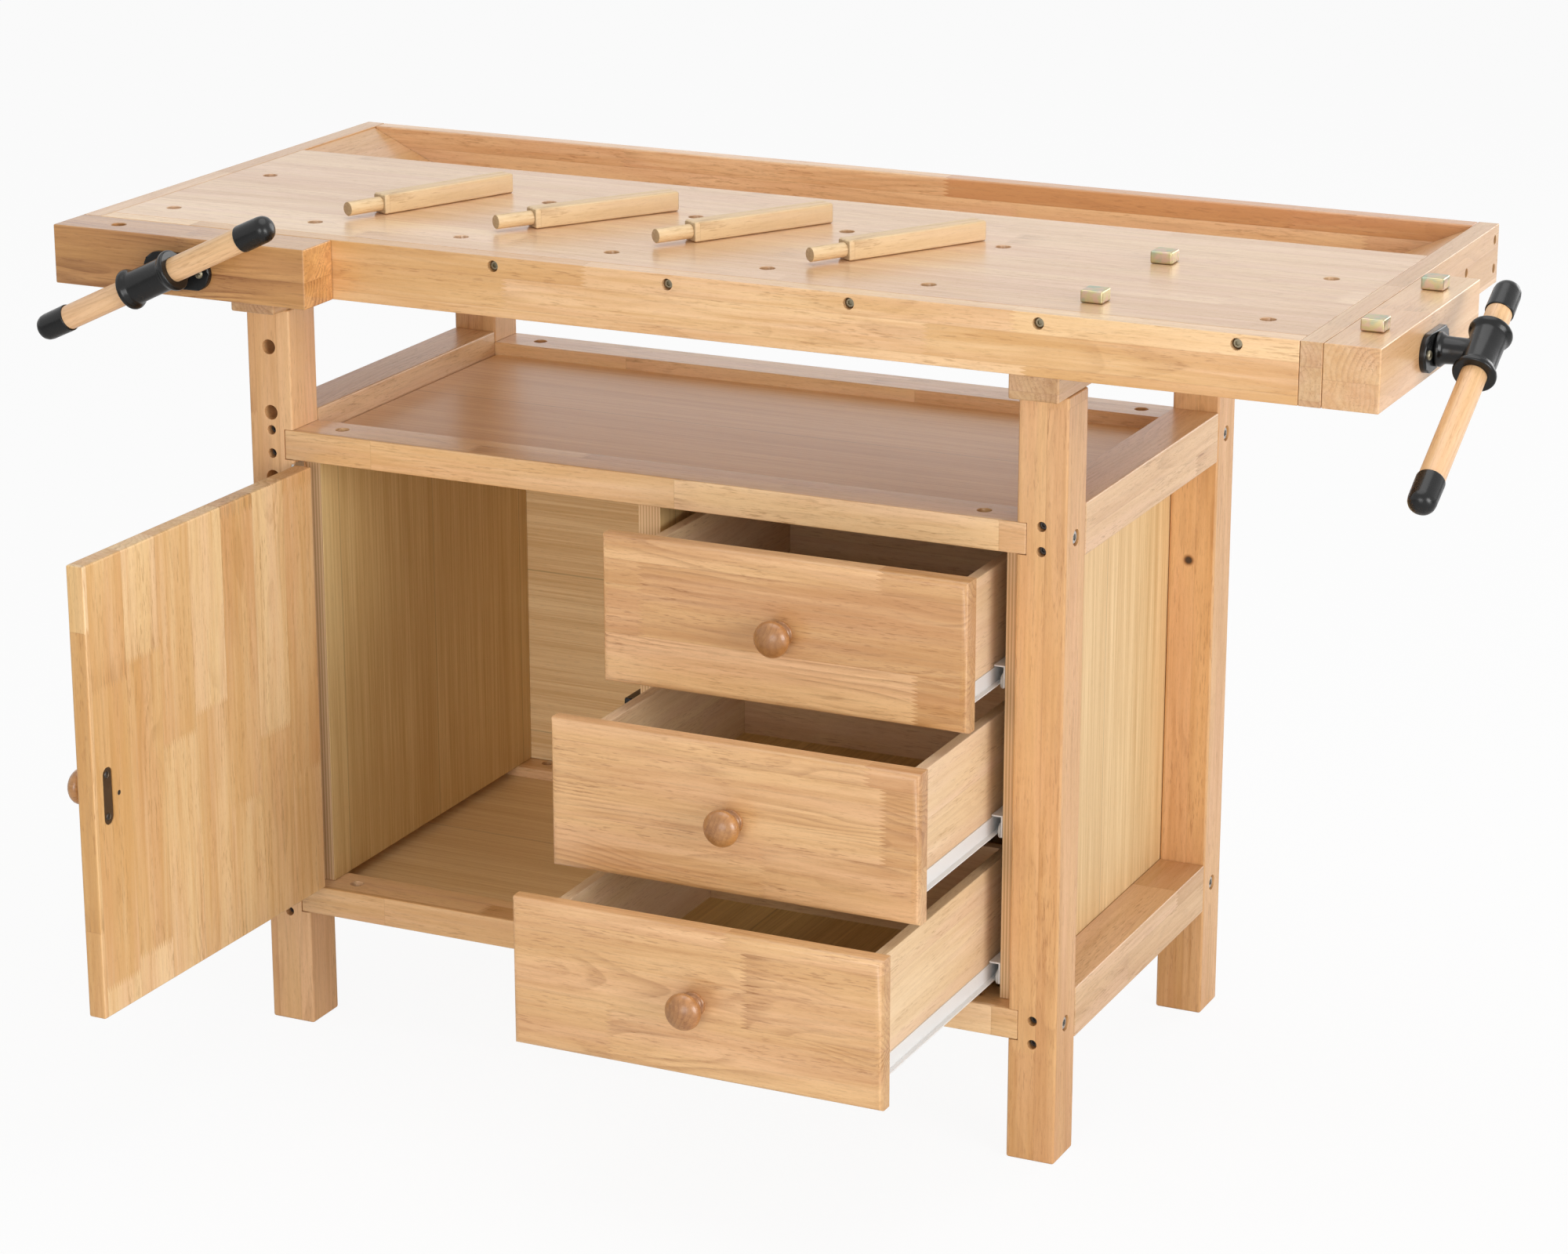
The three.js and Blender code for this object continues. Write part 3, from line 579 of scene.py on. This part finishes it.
# End caps: boards across the two ends of the top, grain along the depth, screwed to the slab's ends.
# A wedge glued to each one's inner face makes a ramp down to the floor of the tray.
cap_finish = timber("cap_timber", 1, 2, strip=0.031, run=0.30, spread=0.6, gloss=0.28, coat=0.4,
                    dark=(0.62, 0.345, 0.145), light=(0.86, 0.590, 0.330))
cap_thick = 21 * mm
cap_screw_hole = 4.6 * mm
cap_screw_sunk = 3 * mm
cap_screw_places = ((300, 846), (300, 817), (400, 832), (498, 846), (498, 817))
ramp_foot = at(0, 337.5, 812.4)
ramp_top = at(0, 0, 858)
ramp_run = 100 * mm
ramp_width = 152 * mm
cap_screws = []
for side, outward in (("left", -1), ("right", 1)):
    name = f"end_cap_{side}"
    low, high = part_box(name)
    outer = low.x if outward < 0 else high.x
    inner = outer - outward * cap_thick
    near = Vector((min(outer, inner), low.y, low.z))
    far = Vector((max(outer, inner), high.y, high.z))
    away = Vector((outward, 0, 0))
    cuts = bmesh.new()
    for depth, height in cap_screw_places:
        mouth = at(0, depth, height)
        mouth.x = outer
        grow_hole(cuts, mouth, -away, cap_screw_hole, 12 * mm, hole_flare)
        cap_screws.append((mouth - away * cap_screw_sunk, away))
    fit(name + "_board", board(near, far, 0.8 * mm), cap_finish, "bench", [name], cuts=cuts)
    wedge = bmesh.new()
    corners = ((inner, ramp_foot.z), (inner, ramp_top.z), (inner - outward * ramp_run, ramp_foot.z))
    grow_prism(wedge, [Vector((x, ramp_foot.y, z)) for x, z in corners], Vector((0, ramp_width, 0)))
    fit(f"tray_ramp_{side}", wedge, cap_finish, "bench")
socket_heads("cap_screws", cap_screws, 4.2 * mm, dark_steel_finish, "bench")


# Tool tray: a rear rail of finger-jointed strip, lengths of it much redder than others, and a thin floor
# of veneered board held in grooves.
rear_finish = timber("rear_timber", 0, 2, strip=0.060, run=0.38, spread=0.9, gloss=0.28, coat=0.4,
                     dark=(0.66, 0.330, 0.136), light=(0.95, 0.645, 0.365))
name = "tray_rear_rail"
fit(name + "_board", board(*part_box(name), 2 * mm, 3), rear_finish, "bench", [name])
fit("tray_floor_sheet", board(*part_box("tray_floor"), 0.4 * mm), painted_light_shelf_sheet, "bench", ["tray_floor"])


# Vises: one at the front and one at the right end, each a thick wooden jaw on a steel screw between two
# guide bars. A cast oval plate is screwed to the jaw; the screw's black cross boss holds a sliding wooden
# handle with black caps. Each vise is built about its screw, where the screw meets the jaw's face.
jaw_finish = timber("jaw_timber", 0, 2, strip=0.064, run=0.60, spread=0.3, gloss=0.28, coat=0.5, end=1.3,
                    vein=1.5, dark=(0.44, 0.200, 0.056), light=(0.76, 0.425, 0.155))
end_jaw_finish = timber("end_jaw_timber", 0, 2, strip=0.120, run=0.50, spread=0.3, gloss=0.28, coat=0.4,
                        end=0.9, dark=(0.70, 0.395, 0.170), light=(0.92, 0.640, 0.360))
handle_finish = timber("handle_timber", 0, 1, strip=0.200, run=2.0, spread=0.3,
                       dark=(0.76, 0.455, 0.210), light=(0.93, 0.640, 0.355))
cast_finish = metal("black_casting", (0.005, 0.005, 0.005), 0.24, 0.0, 0.5, Specular_IOR_Level=0.4)
cap_black = metal("black_plastic", (0.005, 0.005, 0.005), 0.26, 0.0, 0.3, Specular_IOR_Level=0.4)
jaw_deep = 53
jaw_below = 26.5
jaw_above = 33
guide_across = 30
guide_radius = 7
guide_hole = 7.5
guide_end = 223
screw_radius = 9 * mm
screw_hole = 9.5
screw_end = 232 * mm
screw_lead = 6 * mm
screw_groove = 1.6 * mm
oval_shift = 20 * mm
oval_round = 18 * mm
oval_front = -6.3 * mm
oval_thick = 6 * mm
oval_screw_across = 27
boss_middle = Vector((0, -48, 0)) * mm
boss_long = 60
handle_hole = 12.8 * mm
grip_radius = 12.3 * mm
grip_half = 130 * mm
cap_start = 112 * mm


def sized(profile):
    """The places and radii of a turned shape, from millimetres."""
    return [(place * mm, radius * mm) for place, radius in profile]


def grow_thread(form, start, end, radius, lead, depth):
    """Adds a screw thread along Y between two places."""
    sides = 20
    steps = int((end - start) / lead * 6)
    rings = []
    for step in range(steps + 1):
        y = start + (end - start) * step / steps
        ring = []
        for side in range(sides):
            phase = (y / lead + side / sides) % 1
            tall = radius - depth * abs(2 * phase - 1)
            angle = 2 * math.pi * side / sides
            ring.append(form.verts.new((tall * math.cos(angle), y, tall * math.sin(angle))))
        rings.append(ring)
    for near, far in zip(rings, rings[1:]):
        for side in range(sides):
            form.faces.new((near[side - 1], near[side], far[side], far[side - 1]))
    form.faces.new(reversed(rings[0]))
    form.faces.new(rings[-1])


oval_dome = sized([(0, 4.6), (0.8, 4.6), (1.7, 4.0), (2.3, 2.8), (2.6, 1.2)])
boss_rim = [(0, 18.8), (0.7, 20), (2, 20.5), (4.2, 20.4), (6.4, 19.5), (8.4, 17.9), (11, 16.8)]
boss_far_rim = [(boss_long - place, radius) for place, radius in reversed(boss_rim)]
boss_profile = sized(boss_rim + [(boss_long / 2, 16.5)] + boss_far_rim)
neck_flange = [(33, 13), (35.6, 14), (37, 15.6), (38.2, 16.2), (40.6, 16.2), (41.2, 15.6), (41.4, 13)]
neck_profile = sized([(0, 12.4), (26, 12.6)] + neck_flange + [(47.4, 13)])
cap_mouth = [(0, 12.7), (0.5, 13.4), (1.4, 13.6)]
cap_nose = [(27, 13.3), (31, 12.6), (34, 11), (36.2, 8.4), (37.5, 5.2), (38, 2)]
cap_profile = sized(cap_mouth + cap_nose)
vises = (
    ("front", at(-454, -102.3, 827), 0, (-146, 143), (-86,), 25.5, 3.4, jaw_finish),
    ("end", at(753.3, 105, 827), 90, (-154, 154.5), (-87.4, 96), 29, -56.4, end_jaw_finish),
)
for vise, axle, turned, jaw_span, jaw_holes, tilt, slid, finish in vises:
    stand = Matrix.Translation(axle) @ Matrix.Rotation(math.radians(turned), 4, "Z")
    jaw_low = Vector((jaw_span[0], 0, -jaw_below)) * mm
    jaw_high = Vector((jaw_span[1], jaw_deep, jaw_above)) * mm
    cuts = bmesh.new()
    for across in jaw_holes:
        mouth = Vector((across, jaw_deep / 2, jaw_above)) * mm
        grow_hole(cuts, mouth, down, dog_hole, 65 * mm, dog_flare)
    for across, radius in ((-guide_across, guide_hole), (0, screw_hole), (guide_across, guide_hole)):
        grow_rod(cuts, Vector((across, -2, 0)) * mm, Vector((across, jaw_deep + 2, 0)) * mm, radius * mm)
    name = f"{vise}_vise_jaw"
    jaw = board(jaw_low, jaw_high, 1.4 * mm, 3)
    fit(name + "_block", jaw, finish, name, [name], stand, cuts)

    plate = bmesh.new()
    outline = []
    for angle in range(0, 360, 10):
        turn = math.radians(angle)
        shift = oval_shift if math.cos(turn) > 0.001 else -oval_shift
        outline.append(Vector((shift + oval_round * math.cos(turn), oval_front, oval_round * math.sin(turn))))
    grow_prism(plate, outline, Vector((0, oval_thick, 0)))
    near_face = oval_front + 0.1 * mm
    face_edges = [edge for edge in plate.edges if all(vert.co.y < near_face for vert in edge.verts)]
    ease(plate, face_edges, 2 * mm, 3)
    cuts = bmesh.new()
    grow_rod(cuts, Vector((0, -8, 0)) * mm, Vector((0, 2, 0)) * mm, 13.5 * mm)
    fit(f"{vise}_vise_plate", plate, cast_finish, name, [f"{vise}_vise_guide"], stand, cuts)
    screws = bmesh.new()
    bars = bmesh.new()
    slots = bmesh.new()
    for side in (-1, 1):
        face = Vector((oval_screw_across * side, -6.2, 0)) * mm
        grow_turned(screws, oval_dome, face, Vector((0, -1, 0)), 28)
        grow_box(slots, face + Vector((-3.2, -4, -0.5)) * mm, face + Vector((3.2, -1.3, 0.5)) * mm)
        grow_box(slots, face + Vector((-0.5, -4, -3.2)) * mm, face + Vector((0.5, -1.3, 3.2)) * mm)
        bar_start = Vector((guide_across * side, 0.2, 0)) * mm
        grow_rod(bars, bar_start, Vector((guide_across * side, guide_end, 0)) * mm, guide_radius * mm)
    fit(f"{vise}_vise_plate_screws", screws, dull_zinc_finish, name, (), stand, slots)
    ease(bars, [edge for edge in bars.edges if edge.calc_face_angle(0) > 1], 1 * mm)
    fit(f"{vise}_vise_guide_bars", bars, steel_finish, name, (), stand)

    lean = Matrix.Rotation(math.radians(-tilt), 4, "Y")
    along = lean @ Vector((1, 0, 0))
    boss = bmesh.new()
    grow_turned(boss, boss_profile, boss_middle - along * boss_long / 2 * mm, along, 56)
    neck = bmesh.new()
    grow_turned(neck, neck_profile, boss_middle, Vector((0, 1, 0)), 48)
    cuts = bmesh.new()
    grow_rod(cuts, boss_middle - along * 45 * mm, boss_middle + along * 45 * mm, handle_hole, sides=40)
    name = f"{vise}_vise_screw"
    fit(name + "_boss", boss, cast_finish, name, [name], stand, cuts, neck)
    thread = bmesh.new()
    grow_thread(thread, -0.4 * mm, screw_end, screw_radius, screw_lead, screw_groove)
    fit(name + "_thread", thread, steel_finish, name, (), stand)

    grip_stand = stand @ Matrix.Translation(boss_middle) @ lean @ Matrix.Translation((slid * mm, 0, 0))
    grip = bmesh.new()
    grip_profile = [(-grip_half, grip_radius), (grip_half, grip_radius)]
    grow_turned(grip, grip_profile, Vector((0, 0, 0)), Vector((1, 0, 0)), 48)
    name = f"{vise}_vise_handle"
    fit(name + "_grip", grip, handle_finish, name, [name], grip_stand)
    caps = bmesh.new()
    for side in (-1, 1):
        grow_turned(caps, cap_profile, Vector((cap_start * side, 0, 0)), Vector((side, 0, 0)), 40)
    fit(name + "_caps", caps, cap_black, name, (), grip_stand)


# Dogs: square-headed stops of zinc-plated steel with a yellow passivated film, on round shanks that drop into
# the holes. Two stand in the slab and two in the end vise's jaw.
def yellow_zinc():
    """Yellow passivated zinc: brass-coloured, drifting towards green and pink."""
    material, shader, place = start_finish("yellow_zinc")[:3]
    x, y, z = place.split()
    drift = (x * 110).joined(y * 110, z * 110).noise(2.0, 0.5, 0.8)
    sway = (x * 70).joined(y * 70, z * 70 + 3).noise(2.0, 0.5, 0.5)
    grit = (x * 700).joined(y * 700, z * 700).noise(2.0)
    warm = drift.between(0.40, 0.60).blend((0.52, 0.46, 0.26, 1), (0.57, 0.42, 0.32, 1))
    colour = sway.between(0.50, 0.66).blend(warm, (0.36, 0.41, 0.30, 1))
    set_finish(shader, Base_Color=colour, Roughness=(grit - 0.5) * 0.2 + 0.34, Metallic=1.0)
    set_finish(shader, Normal=raised(grit, 0.0002, 0.15))
    return material


zinc_finish = yellow_zinc()
dog_head = 12 * mm
dog_shank = 7.2 * mm
for name in ("dog_slab_front", "dog_slab_rear", "dog_jaw_front", "dog_jaw_rear"):
    low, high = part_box(name)
    middle = (low + high) / 2
    dog = board(Vector((low.x, low.y, high.z - dog_head)), high, 1.6 * mm, 2)
    shank = bmesh.new()
    foot = Vector((middle.x, middle.y, low.z))
    shank_profile = [(0, dog_shank - 1 * mm), (1 * mm, dog_shank), (high.z - low.z - dog_head / 2, dog_shank)]
    grow_turned(shank, shank_profile, foot, Vector((0, 0, 1)), 32)
    fit(name + "_stop", dog, zinc_finish, name, [name], joins=shank)


# Pegs: four square hardwood bars, chamfered and oiled, that lie in a row on the slab.
# Each has a round tenon turned on one end, the size of the holes in the slab and in the leg.
peg_finish = timber("peg_timber", 1, 0, strip=0.200, run=2.0, spread=0.3, gloss=0.42, coat=0.1, end=0.62,
                    dark=(0.75, 0.530, 0.280), light=(0.92, 0.710, 0.450))
peg_half = 10
peg_long = 165
tenon_long = 40
tenon_profile = sized([(0, 6.3), (0.9, 7.2), (tenon_long + 4, 7.2)])
first_peg = -332
peg_pitch = 170.5
peg_depths = (79.6, 84, 93.1, 80.1)
peg_turns = (-22.5, -32.7, -30.2, -29.9)
for number in range(4):
    shoulder = at(first_peg + peg_pitch * number, peg_depths[number], slab_top + peg_half + 0.3)
    stand = Matrix.Translation(shoulder) @ Matrix.Rotation(math.radians(peg_turns[number]), 4, "Z")
    peg_high = Vector((peg_half, peg_long, peg_half)) * mm
    bar = board(Vector((-peg_half, 0, -peg_half)) * mm, peg_high, 1.8 * mm, 1)
    tenon = bmesh.new()
    grow_turned(tenon, tenon_profile, Vector((0, -tenon_long * mm, 0)), Vector((0, 1, 0)), 36)
    name = f"peg_{number + 1}"
    fit(name + "_bar", bar, peg_finish, name, [name], stand, joins=tenon)


# Knobs: turned from a darker hardwood, a rounded head on a ringed neck, screwed on from behind.
# One is on the door and one in the middle of each drawer front.
knob_finish = timber("knob_timber", 1, 0, strip=0.200, run=2.0, gloss=0.26, coat=0.5,
                     dark=(0.38, 0.165, 0.048), light=(0.70, 0.350, 0.115))
knob_foot = [(0, 12.5), (1.6, 12.6), (2.6, 11.6), (3.2, 10.2)]
knob_ring = [(4.4, 9.6), (5.6, 10.4), (6.4, 10.4), (7.4, 9.2), (9.5, 8.8)]
knob_head = [(11.5, 9.8), (13.4, 12.6), (15.5, 15.6), (18, 17.5), (20.5, 18), (23, 17.5), (25.5, 16)]
knob_face = [(27.8, 13.6), (29.6, 10.6), (31, 7), (31.7, 3.6), (32, 0.6)]
knob_profile = sized(knob_foot + knob_ring + knob_head + knob_face)


def knob(name, node, body, face, stand):
    """A knob standing out along -Y from a point on a front."""
    form = bmesh.new()
    grow_turned(form, knob_profile, face, Vector((0, -1, 0)), 48)
    fit(name, form, knob_finish, body, [node], stand)


# Door: a flat panel glued up from narrow upright strips that are finger-jointed from short lengths. It hangs
# on a steel strip hinge at the left front leg and stands open, with a steel catch plate let into its back.
door_finish = timber("door_timber", 2, 0, strip=0.056, run=0.30, dark=(0.74, 0.425, 0.165),
                     light=(0.98, 0.715, 0.390), edge=(0.86, 0.77, 0.62))
bronze_finish = metal("brown_steel", (0.20, 0.155, 0.11), 0.46)
door_angle = -91
pin = at(-392.5, -2.5, 0)
door_stand = Matrix.Translation(pin) @ Matrix.Rotation(math.radians(door_angle), 4, "Z")
door_low = Vector((1.5, 2.8, 159)) * mm
door_high = Vector((397.5, 21.8, 612.5)) * mm
plate_middle = Vector((374.5, 19.8, 380)) * mm
plate_reach = 21.1 * mm
plate_round = 7.9 * mm
plate_slack = 0.5 * mm
plate_thick = 1.1 * mm
spare_screw = Vector((357, 21.7, 378)) * mm
door_knob_place = Vector((361.5, 2.8, 380)) * mm


def grow_oblong(form, middle, reach, radius, thick):
    """Adds an upright plate with round ends, lying on a face that looks along Y."""
    outline = []
    for angle in range(0, 360, 15):
        turn = math.radians(angle)
        shift = reach if math.sin(turn) > 0.001 else -reach
        outline.append(middle + Vector((radius * math.cos(turn), 0, shift + radius * math.sin(turn))))
    grow_prism(form, outline, Vector((0, thick, 0)))


cuts = bmesh.new()
grow_oblong(cuts, plate_middle, plate_reach, plate_round, 5 * mm)
door = board(door_low, door_high, 2 * mm, 3)
fit("door_panel_boards", door, door_finish, "door", ["door_panel"], door_stand, cuts)
catch_plate = bmesh.new()
seat = plate_middle + Vector((0, 0.1, 0)) * mm
grow_oblong(catch_plate, seat, plate_reach, plate_round - plate_slack, plate_thick)
cuts = bmesh.new()
screw_points = []
for side in (-1, 1):
    hole = seat + Vector((0, plate_thick, plate_reach * side))
    grow_hole(cuts, hole, Vector((0, -1, 0)), 3.4 * mm, 3 * mm, 0.6 * mm)
    screw_points.append(hole)
fit("door_catch_plate", catch_plate, bronze_finish, "door", (), door_stand, cuts)
screw_points.append(spare_screw)
catch_screws = bmesh.new()
catch_dome = sized([(0, 3.2), (0.4, 3.1), (0.8, 2.4), (1.0, 1.2)])
for point in screw_points:
    grow_turned(catch_screws, catch_dome, point - Vector((0, 0.6, 0)) * mm, Vector((0, 1, 0)), 24)
fit("door_catch_screws", catch_screws, dark_steel_finish, "door", (), door_stand)
knob("door_knob_turned", "door_knob", "door", door_knob_place, door_stand)
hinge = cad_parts["door_hinge"]
hinge.data.materials.clear()
hinge.data.materials.append(steel_finish)


# Catch: a black moulded case with two steel poles, screwed to the divider's left face, level with the plate
# on the door. The poles stand just proud of the divider's front edge, where the closing door meets them.
low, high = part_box("divider_panel")
case_low = Vector((low.x - 17.8 * mm, low.y - 0.8 * mm, 353 * mm))
case_high = Vector((low.x - 0.2 * mm, low.y + 42 * mm, 407 * mm))
fit("catch_case", board(case_low, case_high, 1.4 * mm), cap_black, "bench")
poles = bmesh.new()
for shift in (4, 11.8):
    pole_low = case_low + Vector((shift, -1, 5)) * mm
    grow_box(poles, pole_low, pole_low + Vector((1.8, 4, 44)) * mm)
fit("catch_poles", poles, dark_steel_finish, "bench")


# Drawers: a thick front with rounded edges on a box of thin boards with a veneered floor. Each box has a
# white strip of rolled steel along both lower edges, with a nylon roller at its rear end.
front_finish = timber("front_timber", 0, 2, strip=0.074, run=0.36, gloss=0.30, coat=0.35, vein=0.85,
                      dark=(0.58, 0.300, 0.113), light=(0.885, 0.572, 0.282))
box_look = {"strip": 0.130, "run": 0.80, "spread": 0.4, "gloss": 0.45, "coat": 0.1, "vein": 0.3}
box_colours = {"dark": (0.74, 0.510, 0.285), "light": (0.90, 0.690, 0.440)}
box_finish = timber("box_timber", 1, 2, **box_look, **box_colours)
box_end_finish = timber("box_end_timber", 0, 2, **box_look, **box_colours)
floor_sheet = sheet("drawer_floor_sheet", 1, 2, (0.60, 0.400, 0.130), (0.86, 0.620, 0.250))
white_finish = metal("white_enamel", (0.80, 0.80, 0.79), 0.30, 0.0, 0.04, 0.2)
wall = 12 * mm
floor_groove = 4 * mm
floor_under = 9 * mm
floor_thick = 6 * mm
strip_upright = [(0.2, 18), (1.4, 18), (1.4, 2.8)]
strip_lip = [(6.5, 2.8), (6.5, 1.6), (1.4, 1.6)]
strip_foot = [(1.4, -1.2), (-9, -1.2), (-9, -0.2), (0.2, -0.2)]
rear_roller = sized([(0, 6.2), (0.6, 7.0), (4.4, 7.0), (5, 6.2)])
levels = ("bottom", "middle", "top")
for level in levels:
    body = f"drawer_{level}"
    low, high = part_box(f"drawer_front_{level}")
    front = bmesh.new()
    grow_box(front, low, high)
    face_edges = [edge for edge in front.edges if all(vert.co.y < low.y + 1 * mm for vert in edge.verts)]
    ease(front, face_edges, 8 * mm, 5)
    fit(f"drawer_{level}_front", front, front_finish, body, [f"drawer_front_{level}"])
    face = Vector(((low.x + high.x) / 2, low.y, (low.z + high.z) / 2))
    knob(f"drawer_{level}_knob", f"drawer_knob_{level}", body, face, None)

    low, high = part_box(f"drawer_box_{level}")
    for side, near, far in (("left", low.x, low.x + wall), ("right", high.x - wall, high.x)):
        form = board(Vector((near, low.y, low.z)), Vector((far, high.y, high.z)), 1 * mm)
        nodes = [f"drawer_box_{level}"] if side == "left" else []
        fit(f"drawer_{level}_side_{side}", form, box_finish, body, nodes)
        outward = -1 if side == "left" else 1
        outer = near if side == "left" else far
        rail = bmesh.new()
        outline = []
        for x, z in strip_upright + strip_lip + strip_foot:
            outline.append(Vector((outer + outward * x * mm, low.y + 1 * mm, low.z + z * mm)))
        grow_prism(rail, outline, Vector((0, high.y - low.y - 6 * mm, 0)))
        fit(f"drawer_{level}_runner_{side}", rail, white_finish, body)
        wheel = bmesh.new()
        hub = Vector((outer + outward * 2 * mm, high.y - 9 * mm, low.z + 10 * mm))
        grow_turned(wheel, rear_roller, hub, Vector((outward, 0, 0)), 32)
        fit(f"drawer_{level}_roller_{side}", wheel, white_finish, body)
    for end, near, far in (("front", low.y, low.y + wall), ("back", high.y - wall, high.y)):
        left = low.x + wall - 0.01 * mm
        form = board(Vector((left, near, low.z + 2 * mm)), Vector((high.x - wall, far, high.z)), 1 * mm)
        fit(f"drawer_{level}_box_{end}", form, box_end_finish, body)
    floor_low = Vector((low.x + wall - floor_groove, low.y + floor_groove, low.z + floor_under))
    floor_high = Vector((high.x - wall + floor_groove, high.y - floor_groove, floor_low.z + floor_thick))
    fit(f"drawer_{level}_floor", board(floor_low, floor_high, 0.4 * mm), floor_sheet, body)


# Runners: white enamelled channels rolled from steel strip, screwed to the divider and the right side panel.
# The lower lip of each is cut away at its front end, where a nylon roller hangs beside the drawer's strip.
# The rollers' grey is partly the nylon's own off-white and partly painted shade.
nylon_painted_shade_finish = metal("nylon", (0.60, 0.58, 0.54), 0.42, 0.0, 0.08, 0.3)
gauge = 1.5 * mm
notch_long = 19 * mm
front_roller = sized([(0, 7.4), (0.5, 8), (3.1, 8), (3.6, 7.4)])
for level in levels:
    for side, inward in (("left", 1), ("right", -1)):
        name = f"runner_{level}_{side}"
        low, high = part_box(name)
        back, mouth = (low.x, high.x) if inward > 0 else (high.x, low.x)
        web = back + inward * gauge
        lower_lip = [(back, low.z), (mouth, low.z), (mouth, low.z + gauge), (web, low.z + gauge)]
        upper_lip = [(web, high.z - gauge), (mouth, high.z - gauge), (mouth, high.z), (back, high.z)]
        outline = [Vector((x, low.y, z)) for x, z in lower_lip + upper_lip]
        channel = bmesh.new()
        grow_prism(channel, outline, Vector((0, high.y - low.y, 0)))
        notch = bmesh.new()
        reach = (web + inward * 0.1 * mm, mouth + inward * 1 * mm)
        near = Vector((min(reach), low.y - 1 * mm, low.z - 1 * mm))
        grow_box(notch, near, Vector((max(reach), low.y + notch_long, low.z + gauge + 0.2 * mm)))
        fit(name + "_channel", channel, white_finish, "bench", [name], cuts=notch)
        roller = bmesh.new()
        hub = Vector((web + inward * 0.4 * mm, low.y + 9 * mm, low.z + 4.5 * mm))
        grow_turned(roller, front_roller, hub, Vector((inward, 0, 0)), 32)
        fit(name + "_roller", roller, nylon_painted_shade_finish, "bench")


# Studio: a plain pale floor that keeps the bench's shadow, in a white surround, under four soft round lamps:
# one overhead, a strong one from the right, and weaker ones from behind and from the front.
# The camera stands off the right front corner and looks down on the top.
def white_floor():
    """A matt pale floor that keeps the object's shadow and looks close to white."""
    material = bpy.data.materials.new("floor_paper")
    material.use_nodes = True
    tree = material.node_tree
    shader = tree.nodes["Principled BSDF"]
    set_finish(shader, Base_Color=(0.86, 0.86, 0.86, 1), Roughness=0.9)
    seen = Wire(shader.outputs[0]).node("ShaderNodeLightPath", output="Is Camera Ray")
    glow = seen.node("ShaderNodeEmission", None, {"Color": (1, 1, 1, 1), "Strength": 1.0})
    inputs = {0: seen * 0.92, 1: Wire(shader.outputs[0]), 2: glow}
    mixed = seen.node("ShaderNodeMixShader", None, inputs)
    tree.links.new(mixed.socket, tree.nodes["Material Output"].inputs["Surface"])
    return material


floor_form = bmesh.new()
bmesh.ops.create_grid(floor_form, x_segments=1, y_segments=1, size=30)
floor = new_object("floor", floor_form)
floor.location.z = -0.5 * mm
floor.data.materials.append(white_floor())

surround = bpy.data.worlds.new("surround")
surround.use_nodes = True
bpy.context.scene.world = surround
sky = surround.node_tree.nodes["Background"]
shaded_strength = 0.44
rays = Wire(sky.outputs[0]).node("ShaderNodeLightPath").socket.node.outputs
camera_ray = Wire(rays["Is Camera Ray"])
glossy_ray = Wire(rays["Is Glossy Ray"])
clear_ray = Wire(rays["Is Transmission Ray"])
direct = camera_ray.math("MAXIMUM", glossy_ray).math("MAXIMUM", clear_ray)
strength = direct * (1 - shaded_strength) + shaded_strength
surround.node_tree.links.new(strength.socket, sky.inputs["Strength"])
sky.inputs["Color"].default_value = (1, 1, 1, 1)

lamps = (
    ("top_light", (0.1, 0.1, 3.6), (0, 0, 0.6), 3.0, 35),
    ("right_light", (4.1, -1.8, 1.4), (0, 0, 0.5), 2.4, 97),
    ("back_light", (2.2, 4.4, 1.6), (0, 0, 0.5), 2.4, 46),
    ("front_light", (0.6, -4.6, 1.15), (0, 0, 0.5), 2.4, 60),
)
for name, spot, target, size, power in lamps:
    lamp = bpy.data.lights.new(name, "AREA")
    lamp.shape = "DISK"
    lamp.size = size
    lamp.energy = power
    holder = bpy.data.objects.new(name, lamp)
    holder.location = spot
    holder.rotation_euler = (Vector(target) - Vector(spot)).to_track_quat("-Z", "Y").to_euler()
    bpy.context.collection.objects.link(holder)

view_down = math.radians(17.42)
view_turn = math.radians(25.135)
lens = bpy.data.cameras.new("camera")
lens.sensor_width = 36
lens.lens = 95.82
camera = bpy.data.objects.new("camera", lens)
camera.location = at(1788.6, -3483.7, 1719.2)
camera.rotation_euler = (math.radians(90) - view_down, 0, view_turn)
bpy.context.collection.objects.link(camera)
bpy.context.scene.camera = camera
